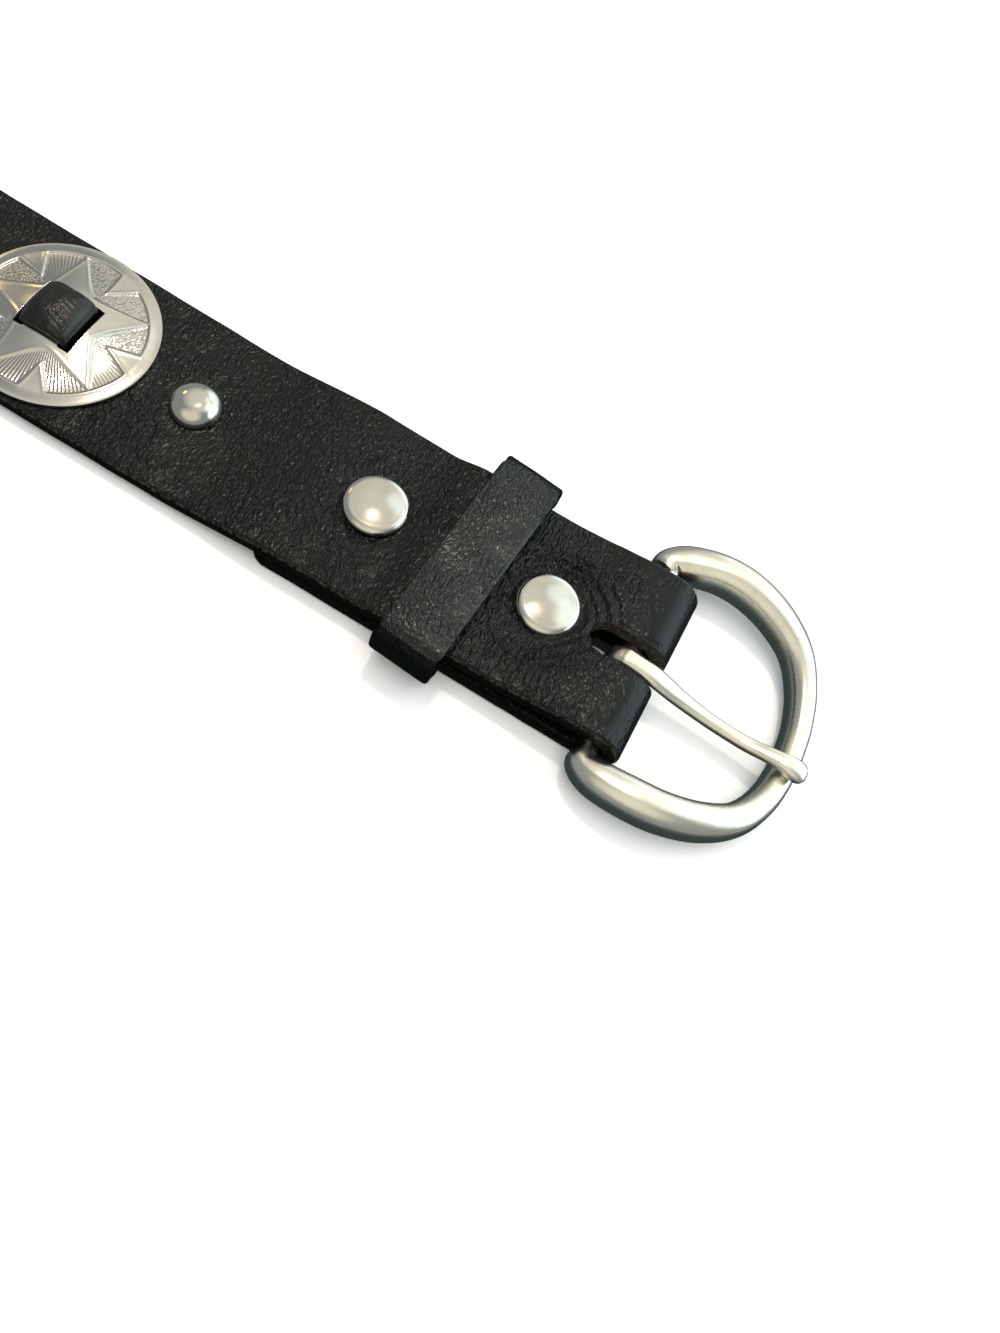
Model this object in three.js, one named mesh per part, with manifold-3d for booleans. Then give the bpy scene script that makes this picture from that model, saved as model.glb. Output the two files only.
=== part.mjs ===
// Concho belt: a black leather strap with a nickel buckle, a keeper, two snap caps, and round conchos
// laced on along its length with a small dome stud between each two.
// Millimetres, +Z up. The belt lies straight and face up on the plane z = 0, along X, buckle at +X.
// Inside the group, x = 0 is the front of the leather fold round the heel bar, and y = 0 is the middle
// of the strap. The group then puts the origin under the middle of the whole belt's box.
import * as THREE from "three";
import { mergeVertices } from "three/addons/utils/BufferGeometryUtils.js";
import Module from "manifold-3d";

const wasm = await Module();
wasm.setup();

// Driving dimensions: strap
const strapLength = 1041;
const strapWidth = 38.1;
const strapThickness = 3.6;
const underLayerLength = 84;
const underLayerSkive = 15;
const skivedThickness = 1.2;
const underLayerCorner = 8;
const tipLength = 24;
const tipNoseWidth = 9;
const tipHoleCount = 5;
const tipHoleDiameter = 5;
const tipHolePitch = 25.4;
const lastHoleFromTip = 76;

// Driving dimensions: buckle and its fold
const heelBarDiameter = 4.4;
const foldClearance = 0.3;
const buckleReach = 36.3;
const buckleHalfSpan = 25.6;
const buckleArmWidth = 7.8;
const buckleArmHeight = 6.2;
const buckleSideShift = 1.2;
const buckleSetBack = 0.85;
const buckleYaw = 3.2;
const tongueWidth = 3.7;
const tongueThickness = 2.3;
const tongueClearance = 0.25;
const tongueSideShift = -0.9;
const tongueYaw = -2.4;
const tongueOverhang = 0.2;
const tongueDip = 2.6;
const slotWidth = 6.4;
const slotSideShift = -0.35;
const slotBackFromFold = 15.4;

// Driving dimensions: keeper and snaps
const keeperFromFold = 41.7;
const keeperWidth = 12.8;
const keeperWall = 1.8;
const keeperLength = 47.6;
const keeperSideShift = -1.4;
const keeperPassageHeight = 4.2;
const keeperCorner = 3.2;
const keeperSkew = 3.8;
const snapCapDiameter = 12.7;
const snapCapHeight = 1.9;
const snapPostDiameter = 4;
const snapFlangeDiameter = 9;
const snapFlangeThickness = 0.9;
const snap1FromFold = 62.4;
const snap2FromFold = 25.4;
const snap1Gap = 0.5;

// Driving dimensions: conchos, laces and dome studs
const conchoCount = 12;
const firstConchoPastUnderLayer = 47;
const conchoPitch = 59;
const conchoDiameter = 36.6;
const conchoThickness = 1.1;
const conchoRise = 2.2;
const conchoRimWidth = 2.3;
const starRelief = 0.45;
const starSpread = 0.98;
const starInner = 0.4;
const starTurn = 36;
const laceWidth = 10.8;
const laceThickness = 2;
const laceBackThickness = 1.2;
const laceBridge = 7.6;
const lacePillow = 1.1;
const domeDiameter = 10;
const domeHeight = 3.4;
const domePostDiameter = 2.8;
const domeFlangeDiameter = 7;
const domeFlangeThickness = 0.9;

// Named clearances between pieces
const fitGap = 0.15;
const seatGap = 0.05;

// Values that follow from the driving dimensions
const barRadius = heelBarDiameter / 2;
const foldInner = barRadius + foldClearance;
const foldOuter = foldInner + strapThickness;
const barX = -foldOuter;
const barZ = foldOuter;
const runBottom = laceBackThickness;
const runTop = runBottom + strapThickness;
const keeperFloorBottom = strapThickness + fitGap;
const upperAtKeeper = keeperFloorBottom + keeperWall + fitGap;
const upperAtSnap1 = strapThickness + snap1Gap;
const deg = THREE.MathUtils.degToRad;
const firstConchoFromFold = underLayerLength + firstConchoPastUnderLayer;
const conchoX = (i) => -(firstConchoFromFold + i * conchoPitch);
const domeX = (i) => conchoX(i) + conchoPitch / 2;

const leather = (name, colour, roughness) =>
  new THREE.MeshStandardMaterial({ name, color: colour, roughness, metalness: 0 });
const metal = (name, colour, roughness) =>
  new THREE.MeshStandardMaterial({ name, color: colour, roughness, metalness: 1 });
const materials = {
  strap: leather("strap_leather", 0x15130f, 0.5),
  keeper: leather("keeper_leather", 0x100f0e, 0.35),
  lace: leather("lace_leather", 0x12100f, 0.45),
  buckle: metal("satin_nickel", 0xc9c3b6, 0.3),
  cap: metal("polished_nickel", 0xd9d6cc, 0.15),
  concho: metal("stamped_nickel", 0xd2cec4, 0.25),
};

// Solids and back: a geometry with merged vertices becomes a solid that can be joined and cut.
function solidFrom(geometry) {
  const bare = geometry.clone();
  bare.deleteAttribute("normal");
  bare.deleteAttribute("uv");
  const merged = mergeVertices(bare, 1e-4);
  return new wasm.Manifold(
    new wasm.Mesh({
      numProp: 3,
      vertProperties: new Float32Array(merged.attributes.position.array),
      triVerts: new Uint32Array(merged.index.array),
    }),
  );
}

function geometryFrom(solid) {
  const mesh = solid.getMesh();
  const geometry = new THREE.BufferGeometry();
  geometry.setAttribute("position", new THREE.BufferAttribute(mesh.vertProperties, 3));
  geometry.setIndex(new THREE.BufferAttribute(mesh.triVerts, 1));
  geometry.computeVertexNormals();
  return geometry;
}

// A shape in the XY plane, raised from z = low to z = high.
function upright(shape, low, high, curveSegments = 6) {
  const geometry = new THREE.ExtrudeGeometry(shape, {
    depth: high - low,
    bevelEnabled: false,
    curveSegments,
  });
  geometry.translate(0, 0, low);
  return geometry;
}

// A shape drawn as (x, z), drawn out along Y and centred on y = 0.
function acrossBelt(shape, width, curveSegments = 6) {
  const geometry = new THREE.ExtrudeGeometry(shape, {
    depth: width,
    bevelEnabled: false,
    curveSegments,
  });
  geometry.rotateX(Math.PI / 2);
  geometry.translate(0, width / 2, 0);
  return geometry;
}

function cylinder(radius, low, high, x, y, sides) {
  const geometry = new THREE.CylinderGeometry(radius, radius, high - low, sides);
  geometry.rotateX(Math.PI / 2);
  geometry.translate(x, y, (low + high) / 2);
  return geometry;
}

function boxShape(halfX, halfY) {
  return new THREE.Shape([
    new THREE.Vector2(-halfX, -halfY),
    new THREE.Vector2(halfX, -halfY),
    new THREE.Vector2(halfX, halfY),
    new THREE.Vector2(-halfX, halfY),
  ]);
}

// Rings of points, each with the same count, joined into one closed skin with flat ends.
function loft(rings) {
  const count = rings[0].length;
  const positions = rings.flat().flatMap((p) => [p.x, p.y, p.z]);
  const index = [];
  for (let i = 0; i < rings.length - 1; i++) {
    for (let j = 0; j < count; j++) {
      const a = i * count + j;
      const b = i * count + ((j + 1) % count);
      index.push(a, b, a + count, b, b + count, a + count);
    }
  }
  const last = (rings.length - 1) * count;
  for (let j = 1; j < count - 1; j++) {
    index.push(0, j + 1, j);
    index.push(last, last + j, last + j + 1);
  }
  const geometry = new THREE.BufferGeometry();
  geometry.setAttribute("position", new THREE.Float32BufferAttribute(positions, 3));
  geometry.setIndex(index);
  const solid = solidFrom(geometry);
  return solid.volume() > 0 ? geometry : flipped(geometry);
}

function flipped(geometry) {
  const index = Array.from(geometry.index.array);
  for (let i = 0; i < index.length; i += 3) {
    [index[i + 1], index[i + 2]] = [index[i + 2], index[i + 1]];
  }
  geometry.setIndex(index);
  return geometry;
}

// Strap
// The middle line of the leather, seen from the side, from the free tip over the fold to the end of the
// under layer, and half the thickness at each of its points. The tip lies on the surface; past it the
// strap runs on the backs of the laces, and near the buckle it climbs over the under layer, which is
// skived thin at its end, and over the floor of the keeper.
function strapMiddleLine() {
  const half = strapThickness / 2;
  const landing = conchoX(conchoCount - 1) - conchoDiameter;
  const snapFlat = snapCapDiameter / 2 + fitGap;
  const climbs = [
    { x: -strapLength, bottom: 0 },
    { x: landing - conchoPitch, bottom: 0 },
    { x: landing, bottom: runBottom },
    { x: domeX(0) + domeFlangeDiameter, bottom: runBottom },
    { x: -(snap1FromFold + snapFlat), bottom: upperAtSnap1 },
    { x: -(snap1FromFold - snapFlat), bottom: upperAtSnap1 },
    { x: -(keeperFromFold + keeperWidth / 2), bottom: upperAtKeeper },
    { x: -(snap2FromFold - snapFlat), bottom: upperAtKeeper },
    { x: barX, bottom: barZ + foldInner },
  ];
  const steps = 5;
  const points = [{ x: climbs[0].x, y: climbs[0].bottom + half, half }];
  for (let i = 1; i < climbs.length; i++) {
    const from = climbs[i - 1];
    const to = climbs[i];
    const level = from.bottom === to.bottom;
    const count = level ? 1 : steps;
    for (let k = 1; k <= count; k++) {
      const t = k / count;
      const ease = t * t * (3 - 2 * t);
      const bottom = from.bottom + (to.bottom - from.bottom) * ease;
      points.push({ x: from.x + (to.x - from.x) * t, y: bottom + half, half });
    }
  }
  const turns = 14;
  const middleRadius = foldInner + half;
  for (let k = 1; k <= turns; k++) {
    const angle = Math.PI / 2 - (Math.PI * k) / turns;
    const x = barX + middleRadius * Math.cos(angle);
    points.push({ x, y: barZ + middleRadius * Math.sin(angle), half });
  }
  points.push({ x: -(underLayerLength - underLayerSkive), y: half, half });
  points.push({ x: -underLayerLength, y: skivedThickness / 2, half: skivedThickness / 2 });
  return points;
}

// The line moved to one face of the leather, each point along the mean of its two neighbours' normals.
function movedAside(points, side) {
  return points.map((p, i) => {
    const before = points[Math.max(i - 1, 0)];
    const after = points[Math.min(i + 1, points.length - 1)];
    const along = new THREE.Vector2().subVectors(after, before).normalize();
    const arriving = new THREE.Vector2().subVectors(p, before).normalize();
    const bend = i > 0 && i < points.length - 1 ? arriving.dot(along) : 1;
    const distance = (side * p.half) / bend;
    return new THREE.Vector2(p.x - along.y * distance, p.y + along.x * distance);
  });
}

function strapBlank() {
  const line = strapMiddleLine();
  const outer = movedAside(line, 1);
  const inner = movedAside(line, -1).reverse();
  return solidFrom(acrossBelt(new THREE.Shape([...outer, ...inner]), strapWidth));
}

// Seen from above: square corners at the buckle, a nose at the free end.
function strapOutline() {
  const half = strapWidth / 2;
  const shape = new THREE.Shape();
  shape.moveTo(1, -half);
  shape.lineTo(1, half);
  shape.lineTo(-strapLength + tipLength, half);
  shape.quadraticCurveTo(-strapLength + tipLength * 0.3, half, -strapLength, tipNoseWidth / 2);
  shape.lineTo(-strapLength, -tipNoseWidth / 2);
  shape.quadraticCurveTo(-strapLength + tipLength * 0.3, -half, -strapLength + tipLength, -half);
  return solidFrom(upright(shape, 0, barZ * 3, 7));
}

// The two corners taken off the end of the under layer, which lies below the upper layer.
function underLayerCorners() {
  const half = strapWidth / 2;
  const far = 1;
  return [1, -1].map((side) => {
    const shape = new THREE.Shape([
      new THREE.Vector2(-underLayerLength - far, side * (half - underLayerCorner)),
      new THREE.Vector2(-underLayerLength, side * (half - underLayerCorner)),
      new THREE.Vector2(-underLayerLength + underLayerCorner, side * half),
      new THREE.Vector2(-underLayerLength + underLayerCorner, side * (half + far)),
      new THREE.Vector2(-underLayerLength - far, side * (half + far)),
    ]);
    return solidFrom(upright(shape, -far, strapThickness + far / 4));
  });
}

// The tongue's slot is open round the fold, with a round end in each layer.
function tongueSlot() {
  const half = slotWidth / 2;
  const shape = new THREE.Shape();
  shape.moveTo(1, half);
  shape.lineTo(-slotBackFromFold + half, half);
  shape.absarc(-slotBackFromFold + half, 0, half, Math.PI / 2, Math.PI * 1.5, false);
  shape.lineTo(1, -half);
  const slot = upright(shape, -1, barZ * 3, 8);
  slot.translate(0, slotSideShift, 0);
  return solidFrom(slot);
}

function laceSlots(x) {
  const halfX = (laceThickness + 2 * fitGap) / 2;
  const halfY = laceWidth / 2 + fitGap;
  const offset = laceBridge / 2 + laceThickness / 2;
  return [-1, 1].map((side) => {
    const slot = upright(boxShape(halfX, halfY), -1, barZ * 3);
    slot.translate(x + side * offset, 0, 0);
    return solidFrom(slot);
  });
}

function snapHole(x) {
  const shaft = solidFrom(cylinder(snapPostDiameter / 2 + fitGap, -1, barZ * 3, x, 0, 12));
  const seat = solidFrom(
    cylinder(snapFlangeDiameter / 2 + fitGap, -1, snapFlangeThickness + fitGap, x, 0, 16),
  );
  return [shaft, seat];
}

function makeStrap() {
  let strap = strapBlank().intersect(strapOutline());
  const cuts = [...underLayerCorners(), tongueSlot()];
  cuts.push(...snapHole(-snap1FromFold), ...snapHole(-snap2FromFold));
  for (let i = 0; i < conchoCount; i++) {
    cuts.push(...laceSlots(conchoX(i)));
    cuts.push(solidFrom(cylinder(domePostDiameter / 2 + fitGap, -1, barZ, domeX(i), 0, 8)));
  }
  for (let i = 0; i < tipHoleCount; i++) {
    const x = -strapLength + lastHoleFromTip + i * tipHolePitch;
    cuts.push(solidFrom(cylinder(tipHoleDiameter / 2, -1, barZ, x, 0, 12)));
  }
  cuts.forEach((cut) => {
    strap = strap.subtract(cut);
  });
  return new THREE.Mesh(geometryFrom(strap), materials.strap);
}

// Keeper
// A band round the upper layer: its floor lies between the two layers, and its roof leaves room for the
// free end. It sits a little askew, as a loose loop does.
function makeKeeper() {
  const halfOut = keeperLength / 2;
  const bottom = keeperFloorBottom;
  const top = upperAtKeeper + strapThickness + keeperPassageHeight + keeperWall;
  const ring = (inset) => {
    const r = Math.max(keeperCorner - inset, 0.6);
    const left = -halfOut + inset;
    const right = halfOut - inset;
    const low = bottom + inset;
    const high = top - inset;
    const path = new THREE.Path();
    path.moveTo(left + r, low);
    path.lineTo(right - r, low);
    path.absarc(right - r, low + r, r, -Math.PI / 2, 0, false);
    path.absarc(right - r, high - r, r, 0, Math.PI / 2, false);
    path.absarc(left + r, high - r, r, Math.PI / 2, Math.PI, false);
    path.absarc(left + r, low + r, r, Math.PI, Math.PI * 1.5, false);
    return path;
  };
  const shape = new THREE.Shape(ring(0).getPoints(5));
  shape.holes.push(new THREE.Path(ring(keeperWall).getPoints(4)));
  const geometry = new THREE.ExtrudeGeometry(shape, { depth: keeperWidth, bevelEnabled: false });
  geometry.rotateX(Math.PI / 2);
  geometry.rotateZ(Math.PI / 2);
  geometry.translate(-keeperWidth / 2, 0, 0);
  const keeper = new THREE.Mesh(geometry, materials.keeper);
  keeper.position.set(-keeperFromFold, keeperSideShift, 0);
  keeper.rotation.z = deg(-keeperSkew);
  return keeper;
}

// Snaps
// A low domed cap with a post through both layers, and a flat flange let into the under layer.
function makeSnap(x, upperBottom) {
  const face = upperBottom + strapThickness + seatGap;
  const capRadius = snapCapDiameter / 2;
  const post = snapPostDiameter / 2;
  const flange = snapFlangeDiameter / 2;
  const profile = [
    [0, 0],
    [flange, 0],
    [flange, snapFlangeThickness],
    [post, snapFlangeThickness],
    [post, face],
    [capRadius - 0.3, face],
    [capRadius, face + snapCapHeight * 0.25],
    [capRadius * 0.93, face + snapCapHeight * 0.68],
    [capRadius * 0.6, face + snapCapHeight * 0.94],
    [0, face + snapCapHeight],
  ].map(([r, z]) => new THREE.Vector2(r, z));
  const geometry = new THREE.LatheGeometry(profile, 20);
  geometry.rotateX(Math.PI / 2);
  const snap = new THREE.Mesh(geometry, materials.cap);
  snap.position.x = x;
  return snap;
}

// Dome studs
function makeDomeStud(x) {
  const radius = domeDiameter / 2;
  const post = domePostDiameter / 2;
  const flange = domeFlangeDiameter / 2;
  const back = -strapThickness - seatGap;
  const profile = [
    [0, back - domeFlangeThickness],
    [flange, back - domeFlangeThickness],
    [flange, back],
    [post, back],
    [post, seatGap],
    [radius, seatGap],
    [radius, domeHeight * 0.2],
    [radius * 0.82, domeHeight * 0.68],
    [radius * 0.42, domeHeight * 0.95],
    [0, domeHeight],
  ].map(([r, z]) => new THREE.Vector2(r, z));
  const geometry = new THREE.LatheGeometry(profile, 9);
  geometry.rotateX(Math.PI / 2);
  const stud = new THREE.Mesh(geometry, materials.cap);
  stud.position.set(x, 0, runTop);
  return stud;
}

// Conchos
// A shallow shell: a flat rim ring and a dome inside it, with a five-pointed star raised on the dome.
// Heights are above the face of the strap.
function conchoFace(r) {
  const radius = conchoDiameter / 2;
  const share = Math.min(r / radius, 1);
  return conchoThickness + conchoRise * (1 - share * share);
}

function conchoShell() {
  const radius = conchoDiameter / 2;
  const rim = radius - conchoRimWidth;
  const profile = [
    [0, conchoRise],
    [radius, 0],
    [radius, conchoThickness],
    [rim, conchoFace(rim) + starRelief * 0.5],
    [rim - starRelief, conchoFace(rim) - starRelief * 0.3],
    [0, conchoThickness + conchoRise],
  ].map(([r, z]) => new THREE.Vector2(r, z));
  const geometry = new THREE.LatheGeometry(profile, 22);
  geometry.rotateX(Math.PI / 2);
  return solidFrom(geometry);
}

// The star: ten corners on its outline, its faces following the dome a relief above it.
function conchoStar() {
  const reach = (conchoDiameter / 2 - conchoRimWidth) * starSpread;
  const corners = [];
  for (let i = 0; i < 10; i++) {
    const r = i % 2 === 0 ? reach : reach * starInner;
    const angle = deg(starTurn) + (i * Math.PI) / 5;
    corners.push({ r, x: r * Math.cos(angle), y: r * Math.sin(angle) });
  }
  const level = (lift) =>
    corners.map((c) => new THREE.Vector3(c.x, c.y, conchoFace(c.r) + lift));
  const rings = [level(-conchoThickness / 2), level(starRelief)];
  const positions = rings.flat().concat([
    new THREE.Vector3(0, 0, conchoFace(0) - conchoThickness / 2),
    new THREE.Vector3(0, 0, conchoFace(0) + starRelief),
  ]);
  const index = [];
  for (let j = 0; j < 10; j++) {
    const next = (j + 1) % 10;
    index.push(20, next, j);
    index.push(21, 10 + j, 10 + next);
    index.push(j, next, 10 + j, next, 10 + next, 10 + j);
  }
  const geometry = new THREE.BufferGeometry();
  geometry.setAttribute(
    "position",
    new THREE.Float32BufferAttribute(positions.flatMap((p) => [p.x, p.y, p.z]), 3),
  );
  geometry.setIndex(index);
  return solidFrom(geometry);
}

function conchoGeometry() {
  let concho = conchoShell().add(conchoStar());
  laceSlots(0).forEach((slot) => {
    concho = concho.subtract(slot);
  });
  return geometryFrom(concho);
}

// Laces
// A closed band of leather, seen from the side: flat behind the strap, straight through the slots, and
// swollen where it crosses the bar of the concho.
function laceGeometry() {
  const innerHalf = laceBridge / 2 + fitGap;
  const outerHalf = laceBridge / 2 + laceThickness;
  const barTop = runTop + conchoFace(0) + starRelief + fitGap;
  const shoulder = barTop + laceThickness * 0.35;
  const crown = barTop + laceThickness + lacePillow;
  const soft = 0.5;
  const outside = [
    [-outerHalf + soft, 0],
    [outerHalf - soft, 0],
    [outerHalf, soft],
    [outerHalf, shoulder],
    [outerHalf * 0.8, shoulder + (crown - shoulder) * 0.6],
    [outerHalf * 0.4, crown],
    [-outerHalf * 0.4, crown],
    [-outerHalf * 0.8, shoulder + (crown - shoulder) * 0.6],
    [-outerHalf, shoulder],
    [-outerHalf, soft],
  ];
  const inside = [
    [-innerHalf, laceBackThickness - seatGap],
    [innerHalf, laceBackThickness - seatGap],
    [innerHalf, barTop],
    [-innerHalf, barTop],
  ];
  const asVectors = (rows) => rows.map(([x, z]) => new THREE.Vector2(x, z));
  const shape = new THREE.Shape(asVectors(outside));
  shape.holes.push(new THREE.Path(asVectors(inside)));
  return acrossBelt(shape, laceWidth);
}

// Buckle frame
// Half of its middle line from the heel to the middle of the front: how far out from the bar along the
// belt (share of the reach), how far to the side (share of the half span), how wide and how tall (shares
// of the arm's), and how high its flat underside lies (share of the underside's height at the bar).
const frameRows = [
  { out: -0.02, side: 0.84, wide: 0.58, tall: 0.72, under: 1 },
  { out: 0.005, side: 0.92, wide: 0.76, tall: 0.82, under: 1.02 },
  { out: 0.1, side: 0.975, wide: 0.92, tall: 0.95, under: 1.12 },
  { out: 0.27, side: 1, wide: 1, tall: 1, under: 1.35 },
  { out: 0.455, side: 0.985, wide: 0.99, tall: 1, under: 1.35 },
  { out: 0.655, side: 0.9, wide: 0.94, tall: 0.97, under: 1.15 },
  { out: 0.83, side: 0.74, wide: 0.84, tall: 0.9, under: 0.88 },
  { out: 0.94, side: 0.49, wide: 0.76, tall: 0.84, under: 0.65 },
  { out: 0.99, side: 0.22, wide: 0.71, tall: 0.82, under: 0.54 },
  { out: 1, side: 0, wide: 0.7, tall: 0.82, under: 0.5 },
];
// The section of the frame: a flat underside, near upright walls and a rounded top, as shares of half
// its width and of its height.
const frameSection = [
  { across: -0.86, up: 0 },
  { across: 0.86, up: 0 },
  { across: 1, up: 0.18 },
  { across: 0.97, up: 0.5 },
  { across: 0.74, up: 0.82 },
  { across: 0.3, up: 1 },
  { across: -0.3, up: 1 },
  { across: -0.74, up: 0.82 },
  { across: -0.97, up: 0.5 },
  { across: -1, up: 0.18 },
];

function frameStations() {
  const underAtBar = barZ - barRadius;
  const half = frameRows.map((row) => ({
    point: new THREE.Vector3(row.out * buckleReach, row.side * buckleHalfSpan, row.under * underAtBar),
    wide: row.wide * buckleArmWidth,
    tall: row.tall * buckleArmHeight,
  }));
  const mirrored = half
    .slice(0, -1)
    .reverse()
    .map((s) => ({ ...s, point: new THREE.Vector3(s.point.x, -s.point.y, s.point.z) }));
  return [...half, ...mirrored];
}

function makeFrame() {
  const stations = frameStations();
  const curve = new THREE.CatmullRomCurve3(stations.map((s) => s.point), false, "centripetal");
  const last = stations.length - 1;
  const perStation = 2;
  const count = last * perStation;
  const rings = [];
  for (let i = 0; i <= count; i++) {
    const t = i / count;
    const at = Math.min(Math.floor(t * last), last - 1);
    const f = t * last - at;
    const point = curve.getPoint(t);
    const along = curve.getTangent(t).setZ(0).normalize();
    const side = new THREE.Vector3(-along.y, along.x, 0);
    const wide = THREE.MathUtils.lerp(stations[at].wide, stations[at + 1].wide, f);
    const tall = THREE.MathUtils.lerp(stations[at].tall, stations[at + 1].tall, f);
    rings.push(
      frameSection.map(
        (s) =>
          new THREE.Vector3(
            point.x + (side.x * s.across * wide) / 2,
            point.y + (side.y * s.across * wide) / 2,
            point.z + s.up * tall,
          ),
      ),
    );
  }
  const arms = solidFrom(loft(rings));
  const barLength = 2 * buckleHalfSpan * frameRows[1].side;
  const bar = new THREE.CylinderGeometry(barRadius, barRadius, barLength, 16);
  bar.translate(0, 0, barZ);
  const frame = new THREE.Mesh(geometryFrom(arms.add(solidFrom(bar))), materials.buckle);
  frame.position.set(barX - buckleSetBack, buckleSideShift, 0);
  frame.rotation.z = deg(buckleYaw);
  return frame;
}

// Buckle tongue
// A strip bent round the heel bar, and a shank that dips from it to the front of the frame and ends in
// a knob. Rows run along the shank: how far out (share of the way to its end), how far below the
// straight way from the loop's top to the front bar (share of the dip), and its width and thickness as
// shares of the tongue's.
const tongueRows = [
  { out: 0.12, dip: 0.1, wide: 1, thick: 1 },
  { out: 0.2, dip: 0.35, wide: 0.98, thick: 1 },
  { out: 0.32, dip: 0.75, wide: 0.78, thick: 1 },
  { out: 0.5, dip: 1, wide: 0.66, thick: 1 },
  { out: 0.68, dip: 0.8, wide: 0.66, thick: 1 },
  { out: 0.81, dip: 0.2, wide: 0.74, thick: 1 },
  { out: 0.9, dip: -0.04, wide: 0.92, thick: 1.15 },
  { out: 0.97, dip: 0, wide: 1, thick: 1.3 },
  { out: 1, dip: 0, wide: 0.55, thick: 0.8 },
];

function makeTongue() {
  const middle = barRadius + tongueClearance + tongueThickness / 2;
  const front = frameRows[frameRows.length - 1];
  const frontTop = front.under * (barZ - barRadius) + front.tall * buckleArmHeight;
  const tip = buckleReach + (buckleArmWidth * front.wide) / 2 + tongueOverhang;
  const restHeight = frontTop + fitGap + (tongueThickness * 1.3) / 2;
  const loopTop = barZ + middle;
  const stations = [];
  const loopSteps = 12;
  const loopStart = deg(-50);
  const loopEnd = deg(-270);
  for (let i = 0; i < loopSteps; i++) {
    const angle = loopStart + ((loopEnd - loopStart) * i) / (loopSteps - 1);
    stations.push({
      x: middle * Math.cos(angle),
      z: barZ + middle * Math.sin(angle),
      dx: Math.sin(angle),
      dz: -Math.cos(angle),
      wide: tongueWidth,
      thick: tongueThickness,
    });
  }
  const line = new THREE.CatmullRomCurve3(
    [new THREE.Vector3(0, 0, loopTop)].concat(
      tongueRows.map(
        (row) =>
          new THREE.Vector3(
            row.out * tip,
            0,
            THREE.MathUtils.lerp(loopTop, restHeight, row.out) - row.dip * tongueDip,
          ),
      ),
    ),
    false,
    "centripetal",
  );
  tongueRows.forEach((row, i) => {
    const t = (i + 1) / tongueRows.length;
    const point = line.getPoint(t);
    const along = line.getTangent(t);
    stations.push({
      x: point.x,
      z: point.z,
      dx: along.x,
      dz: along.z,
      wide: row.wide * tongueWidth,
      thick: row.thick * tongueThickness,
    });
  });
  const corners = 8;
  const rings = stations.map((s) => {
    const ring = [];
    for (let k = 0; k < corners; k++) {
      const angle = ((k + 0.5) * 2 * Math.PI) / corners;
      const across = (Math.cos(angle) * s.wide) / 2 / Math.cos(Math.PI / corners);
      const up = (Math.sin(angle) * s.thick) / 2 / Math.cos(Math.PI / corners);
      ring.push(new THREE.Vector3(s.x - s.dz * up, across, s.z + s.dx * up));
    }
    return ring;
  });
  const tongue = new THREE.Mesh(loft(rings), materials.buckle);
  const alongBar = (buckleSideShift - tongueSideShift) * Math.tan(deg(buckleYaw));
  tongue.position.set(barX - buckleSetBack + alongBar, tongueSideShift, 0);
  tongue.rotation.z = deg(tongueYaw);
  return tongue;
}

// The belt
const belt = new THREE.Group();

function place(name, mesh) {
  mesh.name = name;
  belt.add(mesh);
}

place("strap", makeStrap());
place("keeper", makeKeeper());
place("snap_1", makeSnap(-snap1FromFold, upperAtSnap1));
place("snap_2", makeSnap(-snap2FromFold, upperAtKeeper));
const concho = conchoGeometry();
const lace = laceGeometry();
for (let i = 0; i < conchoCount; i++) {
  place("dome_stud_" + (i + 1), makeDomeStud(domeX(i)));
  const disc = new THREE.Mesh(concho, materials.concho);
  disc.position.set(conchoX(i), 0, runTop + seatGap);
  place("concho_" + (i + 1), disc);
  const band = new THREE.Mesh(lace, materials.lace);
  band.position.x = conchoX(i);
  place("lace_" + (i + 1), band);
}
place("buckle_frame", makeFrame());
place("buckle_tongue", makeTongue());

// The origin lies under the middle of the box round the whole belt.
const box = new THREE.Box3().setFromObject(belt, true);
belt.position.set(-(box.min.x + box.max.x) / 2, -(box.min.y + box.max.y) / 2, -box.min.z);

export default belt;
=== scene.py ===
# %% [markdown]
# A concho belt: a strap of black bridle leather, folded round the heel bar of a D-shaped buckle and
# held by two snaps, with round stamped conchos laced on along its length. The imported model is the
# frame: it says where every piece lies, and the pieces made here are its fine surfaces.

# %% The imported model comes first, because every piece fits it
import math

import bpy
import numpy as np
from mathutils import Matrix, Vector


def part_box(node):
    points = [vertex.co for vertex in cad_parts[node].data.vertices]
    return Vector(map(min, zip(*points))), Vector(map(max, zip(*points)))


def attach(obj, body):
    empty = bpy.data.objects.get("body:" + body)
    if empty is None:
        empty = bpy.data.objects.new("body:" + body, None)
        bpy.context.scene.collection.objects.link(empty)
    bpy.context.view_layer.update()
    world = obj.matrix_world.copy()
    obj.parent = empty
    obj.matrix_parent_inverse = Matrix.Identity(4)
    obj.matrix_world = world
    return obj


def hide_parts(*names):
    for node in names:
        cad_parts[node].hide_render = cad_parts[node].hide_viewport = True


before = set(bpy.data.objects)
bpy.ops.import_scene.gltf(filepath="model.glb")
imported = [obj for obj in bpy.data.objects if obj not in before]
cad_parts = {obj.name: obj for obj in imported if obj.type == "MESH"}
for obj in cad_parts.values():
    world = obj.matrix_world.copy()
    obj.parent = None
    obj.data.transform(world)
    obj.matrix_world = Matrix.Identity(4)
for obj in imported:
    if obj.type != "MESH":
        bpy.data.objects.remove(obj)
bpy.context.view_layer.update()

# %% [markdown]
# A belt maker measures from the fold, where the leather turns round the buckle's bar. So does this
# script: x = 0 is the front of the fold, y = 0 the middle of the strap, z = 0 the table, all in
# millimetres. Blender wants metres in the model's own frame, so each mesh is shifted and scaled once,
# when it is made.

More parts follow.
